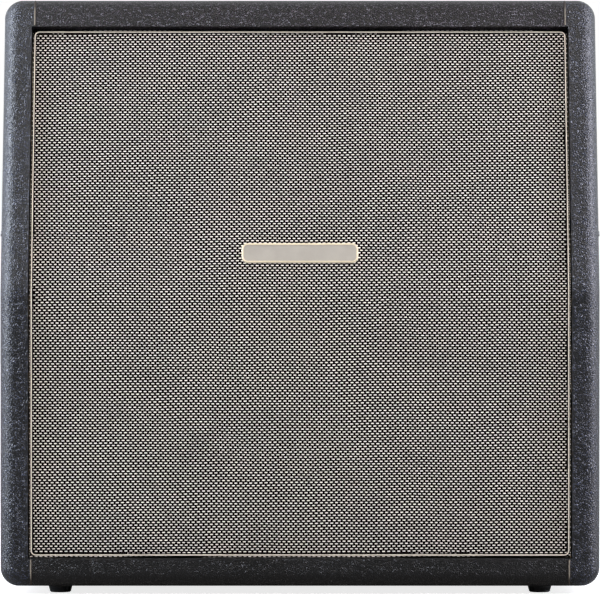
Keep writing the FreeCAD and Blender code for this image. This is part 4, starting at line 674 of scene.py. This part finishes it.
def under_piping_or_in_painted_shadow(vertex):
    # The piping presses the floats down into the cloth, a little way in from its edge. Along the top every
    # float in the outer strip is sunk out of sight as well, so that strip shows only black yarn as a painted
    # shadow under the top rail.
    inset = min(cloth_width / 2 - abs(vertex.co.x), vertex.co.z - cloth_low.z, flat_top - vertex.co.z)
    # Painted shadow: the whole top strip is sunk, not only the part under the piping.
    painted_shadow_at_top = flat_top - vertex.co.z < pressed_to
    return painted_shadow_at_top or pressed_from < inset < pressed_to


def repeat(piece, name, count, step):
    array = piece.modifiers.new(name, "ARRAY")
    array.use_relative_offset = False
    array.use_constant_offset = True
    array.constant_offset_displace = step
    array.count = count


def weave_band(name, first_row, row_count):
    bpy.ops.object.select_all(action="DESELECT")
    bpy.ops.mesh.primitive_cylinder_add(vertices=float_sides, radius=float_width / 2,
                                        depth=float_rise + float_sink, rotation=(math.pi / 2, 0, 0))
    band = start_piece(name)
    bpy.ops.object.mode_set(mode="EDIT")
    bpy.ops.mesh.select_all(action="SELECT")
    bpy.ops.transform.rotate(value=math.pi / float_sides, orient_axis="Y", center_override=(0, 0, 0))
    leave_edit()
    for side in (-1, 1):
        pick(band, "VERT", lambda vertex: vertex.co.x * side > 0)
        bpy.ops.transform.translate(value=(side * (float_length - float_width) / 2, 0, 0))
        leave_edit()
    pick(band, "FACE", lambda face: face.normal.y < -flat_facing)
    bpy.ops.transform.resize(value=float_crown_shares)
    bpy.ops.mesh.select_all(action="SELECT")
    margin = spare_floats * float_period
    start = Vector((cloth_low.x - margin, cloth_front - (float_rise - float_sink) / 2,
                    cloth_low.z + row_step * first_row))
    bpy.ops.transform.translate(value=start)
    leave_edit()
    repeat(band, "across", math.ceil((cloth_width + 2 * margin) / float_period), (float_period, 0, 0))
    repeat(band, "pair", 2, (float_period / 2, 0, row_step))
    repeat(band, "up", row_count // 2, (0, 0, 2 * row_step))
    for texture, amounts in ((cloth_wave, wide_drift), (yarn_unevenness, close_drift)):
        for direction in ("Z", "X"):
            drift = band.modifiers.new("drift", "DISPLACE")
            drift.texture = texture
            drift.direction = direction
            drift.strength = amounts[direction]
            drift.texture_coords = "GLOBAL"
    apply_modifiers(band)
    bpy.ops.object.mode_set(mode="EDIT")
    bpy.ops.mesh.select_all(action="SELECT")
    bpy.ops.transform.rotate(value=row_tilt, orient_axis="Y", center_override=(0, 0, bend_height))
    for side in (-1, 1):
        bpy.ops.mesh.select_all(action="SELECT")
        bpy.ops.mesh.bisect(plane_co=(side * cloth_width / 2, 0, 0), plane_no=(side, 0, 0),
                            clear_outer=True, use_fill=True)
    for height, way in ((cloth_low.z, -1), (flat_top, 1)):
        bpy.ops.mesh.select_all(action="SELECT")
        bpy.ops.mesh.bisect(plane_co=(0, 0, height), plane_no=(0, 0, way), clear_outer=True, use_fill=True)
    leave_edit()
    pick(band, "VERT", under_piping_or_in_painted_shadow)
    bpy.ops.transform.translate(value=(0, pressed_depth, 0))
    leave_edit()
    fold_over_bend(band)
    only(band)
    bpy.ops.object.shade_smooth()
    settle(band, white_yarn, "grille_weave")
    return band


total_rows = math.ceil(cloth_length / row_step) + 2 * spare_rows
band_rows = 2 * math.ceil(total_rows / band_count / 2)
bands = [weave_band(f"grille_floats_{number + 1}", number * band_rows - spare_rows, band_rows)
         for number in range(band_count)]

settle(cloth, black_yarn, "grille_weave", "grille_cloth")

# Cream piping: a vinyl bead glued in a loop on the cloth, and four short strips over the seams of the
# covering. The bead is painted dark wherever it turns away from the front, as painted shade along its foot
# and over the roundings, and its front-facing crown is painted lightest as a painted highlight.

bead_cream = (0.92, 0.88, 0.80)
bead_worn = (0.70, 0.63, 0.53)
bead_painted_shade = (0.022, 0.016, 0.012)
# The seam strips are the same cream bead painted about four times darker, as painted shade.
seam_cream_painted_shade = (0.245, 0.222, 0.185)
seam_worn_painted_shade = (0.14, 0.124, 0.10)
fully_shaded_facing = -0.84
fully_lit_facing = -0.965
bead_shine = 0.12
bead_grain_size = 0.0012
bead_roughness = (0.5, 0.65)
bead_relief = 0.0001


def bead(name, worn, cream):
    material, tree, shader = new_finish(name)
    grain = place_group(tree, fine_grain, Grain_Size=bead_grain_size)
    place = add_node(tree, "ShaderNodeTexCoord")
    facing = add_node(tree, "ShaderNodeSeparateXYZ")
    tree.links.new(place.outputs["Normal"], facing.inputs["Vector"])
    # Painted shade and highlight from facing: dark where the surface turns away from the front, lightest
    # where it faces straight out.
    lit_facing = add_node(tree, "ShaderNodeMapRange")
    lit_facing.inputs["From Min"].default_value = fully_shaded_facing
    lit_facing.inputs["From Max"].default_value = fully_lit_facing
    tree.links.new(facing.outputs["Y"], lit_facing.inputs["Value"])
    tone = add_node(tree, "ShaderNodeMix", data_type="RGBA")
    tone.inputs["A"].default_value = (*bead_painted_shade, 1)
    tree.links.new(lit_facing.outputs["Result"], tone.inputs["Factor"])
    tree.links.new(blend_colours(tree, grain.outputs["Mask"], worn, cream), tone.inputs["B"])
    tree.links.new(tone.outputs["Result"], shader.inputs["Base Color"])
    tree.links.new(spread(tree, grain.outputs["Height"], *bead_roughness), shader.inputs["Roughness"])
    shader.inputs["Specular IOR Level"].default_value = bead_shine
    raise_surface(tree, shader, grain.outputs["Height"], bead_relief)
    return material


dress(bead("cream_bead", bead_worn, bead_cream), "grille_piping")
dress(bead("seam_bead_painted_shade", seam_worn_painted_shade, seam_cream_painted_shade), "seam_piping")

# Plain badge plate, moulded in one piece with a raised rim, pressed through the cloth on two pins.
# The rim is foiled in gold and painted pale, partly as a painted highlight along the raised edge, and the
# sunken middle is left ivory.

badge_length = 0.150
badge_height = 0.026
badge_rim = 0.0024
badge_sink = 0.0009
# The rim's gold is painted pale, partly as a painted highlight along the raised edge.
rim_gold_and_painted_highlight = (0.60, 0.54, 0.42)
rim_gold_worn_and_painted_highlight = (0.44, 0.38, 0.27)
rim_metal = 0.35
ivory = (0.36, 0.345, 0.32)
ivory_shade = (0.26, 0.25, 0.23)
badge_grain_size = 0.0022
badge_roughness = (0.24, 0.40)
badge_relief = 0.00005

badge_out = Vector((0, -math.cos(slant), math.sin(slant)))
badge_up = Vector((0, math.sin(slant), math.cos(slant)))
badge_points = [vertex.co for vertex in nodes["badge_plate"].data.vertices]
rim_face = max(point.dot(badge_out) for point in badge_points)
badge_middle = max(point.dot(badge_up) for point in badge_points) - badge_height / 2


def along(tree, place, way):
    node = add_node(tree, "ShaderNodeVectorMath", operation="DOT_PRODUCT")
    node.inputs[1].default_value = way
    tree.links.new(place, node.inputs[0])
    return node.outputs["Value"]


badge_finish, tree, shader = new_finish("ivory_and_gold")
grain = place_group(tree, fine_grain, Grain_Size=badge_grain_size)
place = add_node(tree, "ShaderNodeTexCoord").outputs["Object"]
sunk = math_node(tree, "LESS_THAN", along(tree, place, badge_out), rim_face - badge_sink / 2)
across = math_node(tree, "ABSOLUTE", along(tree, place, (1, 0, 0)))
in_length = math_node(tree, "LESS_THAN", across, badge_length / 2 - badge_rim)
from_middle = math_node(tree, "SUBTRACT", along(tree, place, badge_up), badge_middle)
up_or_down = math_node(tree, "ABSOLUTE", from_middle)
in_height = math_node(tree, "LESS_THAN", up_or_down, badge_height / 2 - badge_rim)
inside_rim = math_node(tree, "MULTIPLY", math_node(tree, "MULTIPLY", in_length, in_height), sunk)
badge_tone = add_node(tree, "ShaderNodeMix", data_type="RGBA")
tree.links.new(inside_rim, badge_tone.inputs["Factor"])
tree.links.new(blend_colours(tree, grain.outputs["Mask"], rim_gold_worn_and_painted_highlight, rim_gold_and_painted_highlight), badge_tone.inputs["A"])
tree.links.new(blend_colours(tree, grain.outputs["Mask"], ivory_shade, ivory), badge_tone.inputs["B"])
tree.links.new(badge_tone.outputs["Result"], shader.inputs["Base Color"])
tree.links.new(spread(tree, inside_rim, rim_metal, 0.0), shader.inputs["Metallic"])
tree.links.new(spread(tree, grain.outputs["Height"], *badge_roughness), shader.inputs["Roughness"])
raise_surface(tree, shader, grain.outputs["Height"], badge_relief)
dress(badge_finish, "badge_plate")

# Studio: a pale floor and a bright backdrop, soft boxes at both sides, above and in front, strips that
# fill the front, panels that only give the vinyl its shine, and a long lens level with the middle of
# the grille.

floor_size = 40.0
floor_grey = (0.6, 0.6, 0.6, 1)
floor_glow = 0.8
bpy.ops.object.select_all(action="DESELECT")
bpy.ops.mesh.primitive_plane_add(size=floor_size, location=(0, 0, 0))
floor = start_piece("studio_floor")
floor_paint, tree, shader = new_finish("pale_floor")
shader.inputs["Base Color"].default_value = floor_grey
shader.inputs["Roughness"].default_value = 0.8
shader.inputs["Emission Color"].default_value = (1, 1, 1, 1)
seen = add_node(tree, "ShaderNodeLightPath")
tree.links.new(math_node(tree, "MULTIPLY", seen.outputs["Is Camera Ray"], floor_glow),
               shader.inputs["Emission Strength"])
floor.data.materials.append(floor_paint)

fill_colour = (0.93, 0.96, 1.0, 1)
fill_starts_at = -0.15
fill_ends_at = 0.45
fill_in_front = 0.06
fill_behind = 1.5
world = bpy.data.worlds.new("studio")
bpy.context.scene.world = world
world.use_nodes = True
sky = world.node_tree
backdrop = sky.nodes["Background"]
backdrop.inputs["Color"].default_value = (1, 1, 1, 1)
backdrop.inputs["Strength"].default_value = 1.0
fill = add_node(sky, "ShaderNodeBackground")
fill.inputs["Color"].default_value = fill_colour
ways = add_node(sky, "ShaderNodeTexCoord")
way_parts = add_node(sky, "ShaderNodeSeparateXYZ")
sky.links.new(ways.outputs["Generated"], way_parts.inputs["Vector"])
behind = add_node(sky, "ShaderNodeMapRange", interpolation_type="SMOOTHSTEP")
behind.inputs["From Min"].default_value = fill_starts_at
behind.inputs["From Max"].default_value = fill_ends_at
behind.inputs["To Min"].default_value = fill_in_front
behind.inputs["To Max"].default_value = fill_behind
sky.links.new(way_parts.outputs["Y"], behind.inputs["Value"])
sky.links.new(behind.outputs["Result"], fill.inputs["Strength"])
path = add_node(sky, "ShaderNodeLightPath")
choice = add_node(sky, "ShaderNodeMixShader")
sky.links.new(path.outputs["Is Camera Ray"], choice.inputs["Fac"])
sky.links.new(fill.outputs["Background"], choice.inputs[1])
sky.links.new(backdrop.outputs["Background"], choice.inputs[2])
sky.links.new(choice.outputs["Shader"], sky.nodes["World Output"].inputs["Surface"])


def soft_box(name, place, target, size, power, colour):
    bpy.ops.object.light_add(type="AREA", location=place)
    light = bpy.context.object
    light.name = name
    light.data.shape = "RECTANGLE"
    light.data.size, light.data.size_y = size
    light.data.energy = power
    light.data.color = colour
    light.rotation_mode = "QUATERNION"
    light.rotation_quaternion = (Vector(target) - Vector(place)).to_track_quat("-Z", "Y")
    return light


def pair_of_boxes(name, place, target, size, powers, colours):
    # One box at each side, the left one first; place and target are given for the right one
    boxes = []
    for hand, side, power, colour in zip(("left", "right"), (-1, 1), powers, colours):
        mirrored = Vector((side, 1, 1))
        boxes.append(soft_box(f"{hand}_{name}", Vector(place) * mirrored, Vector(target) * mirrored,
                              size, power, colour))
    return boxes


pair_of_boxes("soft_box", place=(1.35, 0.2, 0.85), target=(0.3, 0.05, 0.55), size=(1.5, 1.5),
              powers=(19, 15), colours=((0.76, 0.83, 1.0), (0.84, 0.90, 1.0)))
strips = pair_of_boxes("front_strip", place=(1.45, -1.25, 0.75), target=(0.3, -0.18, 0.45), size=(0.3, 1.1),
                       powers=(7, 6), colours=((1, 0.97, 0.94), (1, 0.97, 0.94)))
for strip in strips:
    strip.visible_glossy = False
panels = pair_of_boxes("shine_panel", place=(1.50, -0.55, 1.00), target=(0.38, -0.15, 0.55), size=(0.5, 1.7),
                       powers=(172, 138), colours=((0.80, 0.87, 1), (0.87, 0.87, 1)))
for panel in panels:
    panel.visible_diffuse = False
soft_box("overhead_soft_box", place=(0, 0.3, 2.1), target=(0, 0.0, 0.7), size=(1.8, 0.9), power=14,
         colour=(1.0, 1.0, 1.0))
soft_box("front_soft_box", place=(0, -2.25, 2.75), target=(0, -0.1, 0.42), size=(2.4, 1.2), power=100,
         colour=(1.0, 0.93, 0.865))

camera_height = 0.381
camera_distance = 5.8
focal_pixels = 4528
image_width = 600
sensor_width = 36
bpy.ops.object.camera_add(location=(0, rim_front - camera_distance, camera_height),
                          rotation=(math.pi / 2, 0, 0))
camera = bpy.context.object
camera.data.sensor_width = sensor_width
camera.data.lens = focal_pixels * sensor_width / image_width
bpy.context.scene.camera = camera
bpy.context.scene.view_settings.view_transform = "Standard"
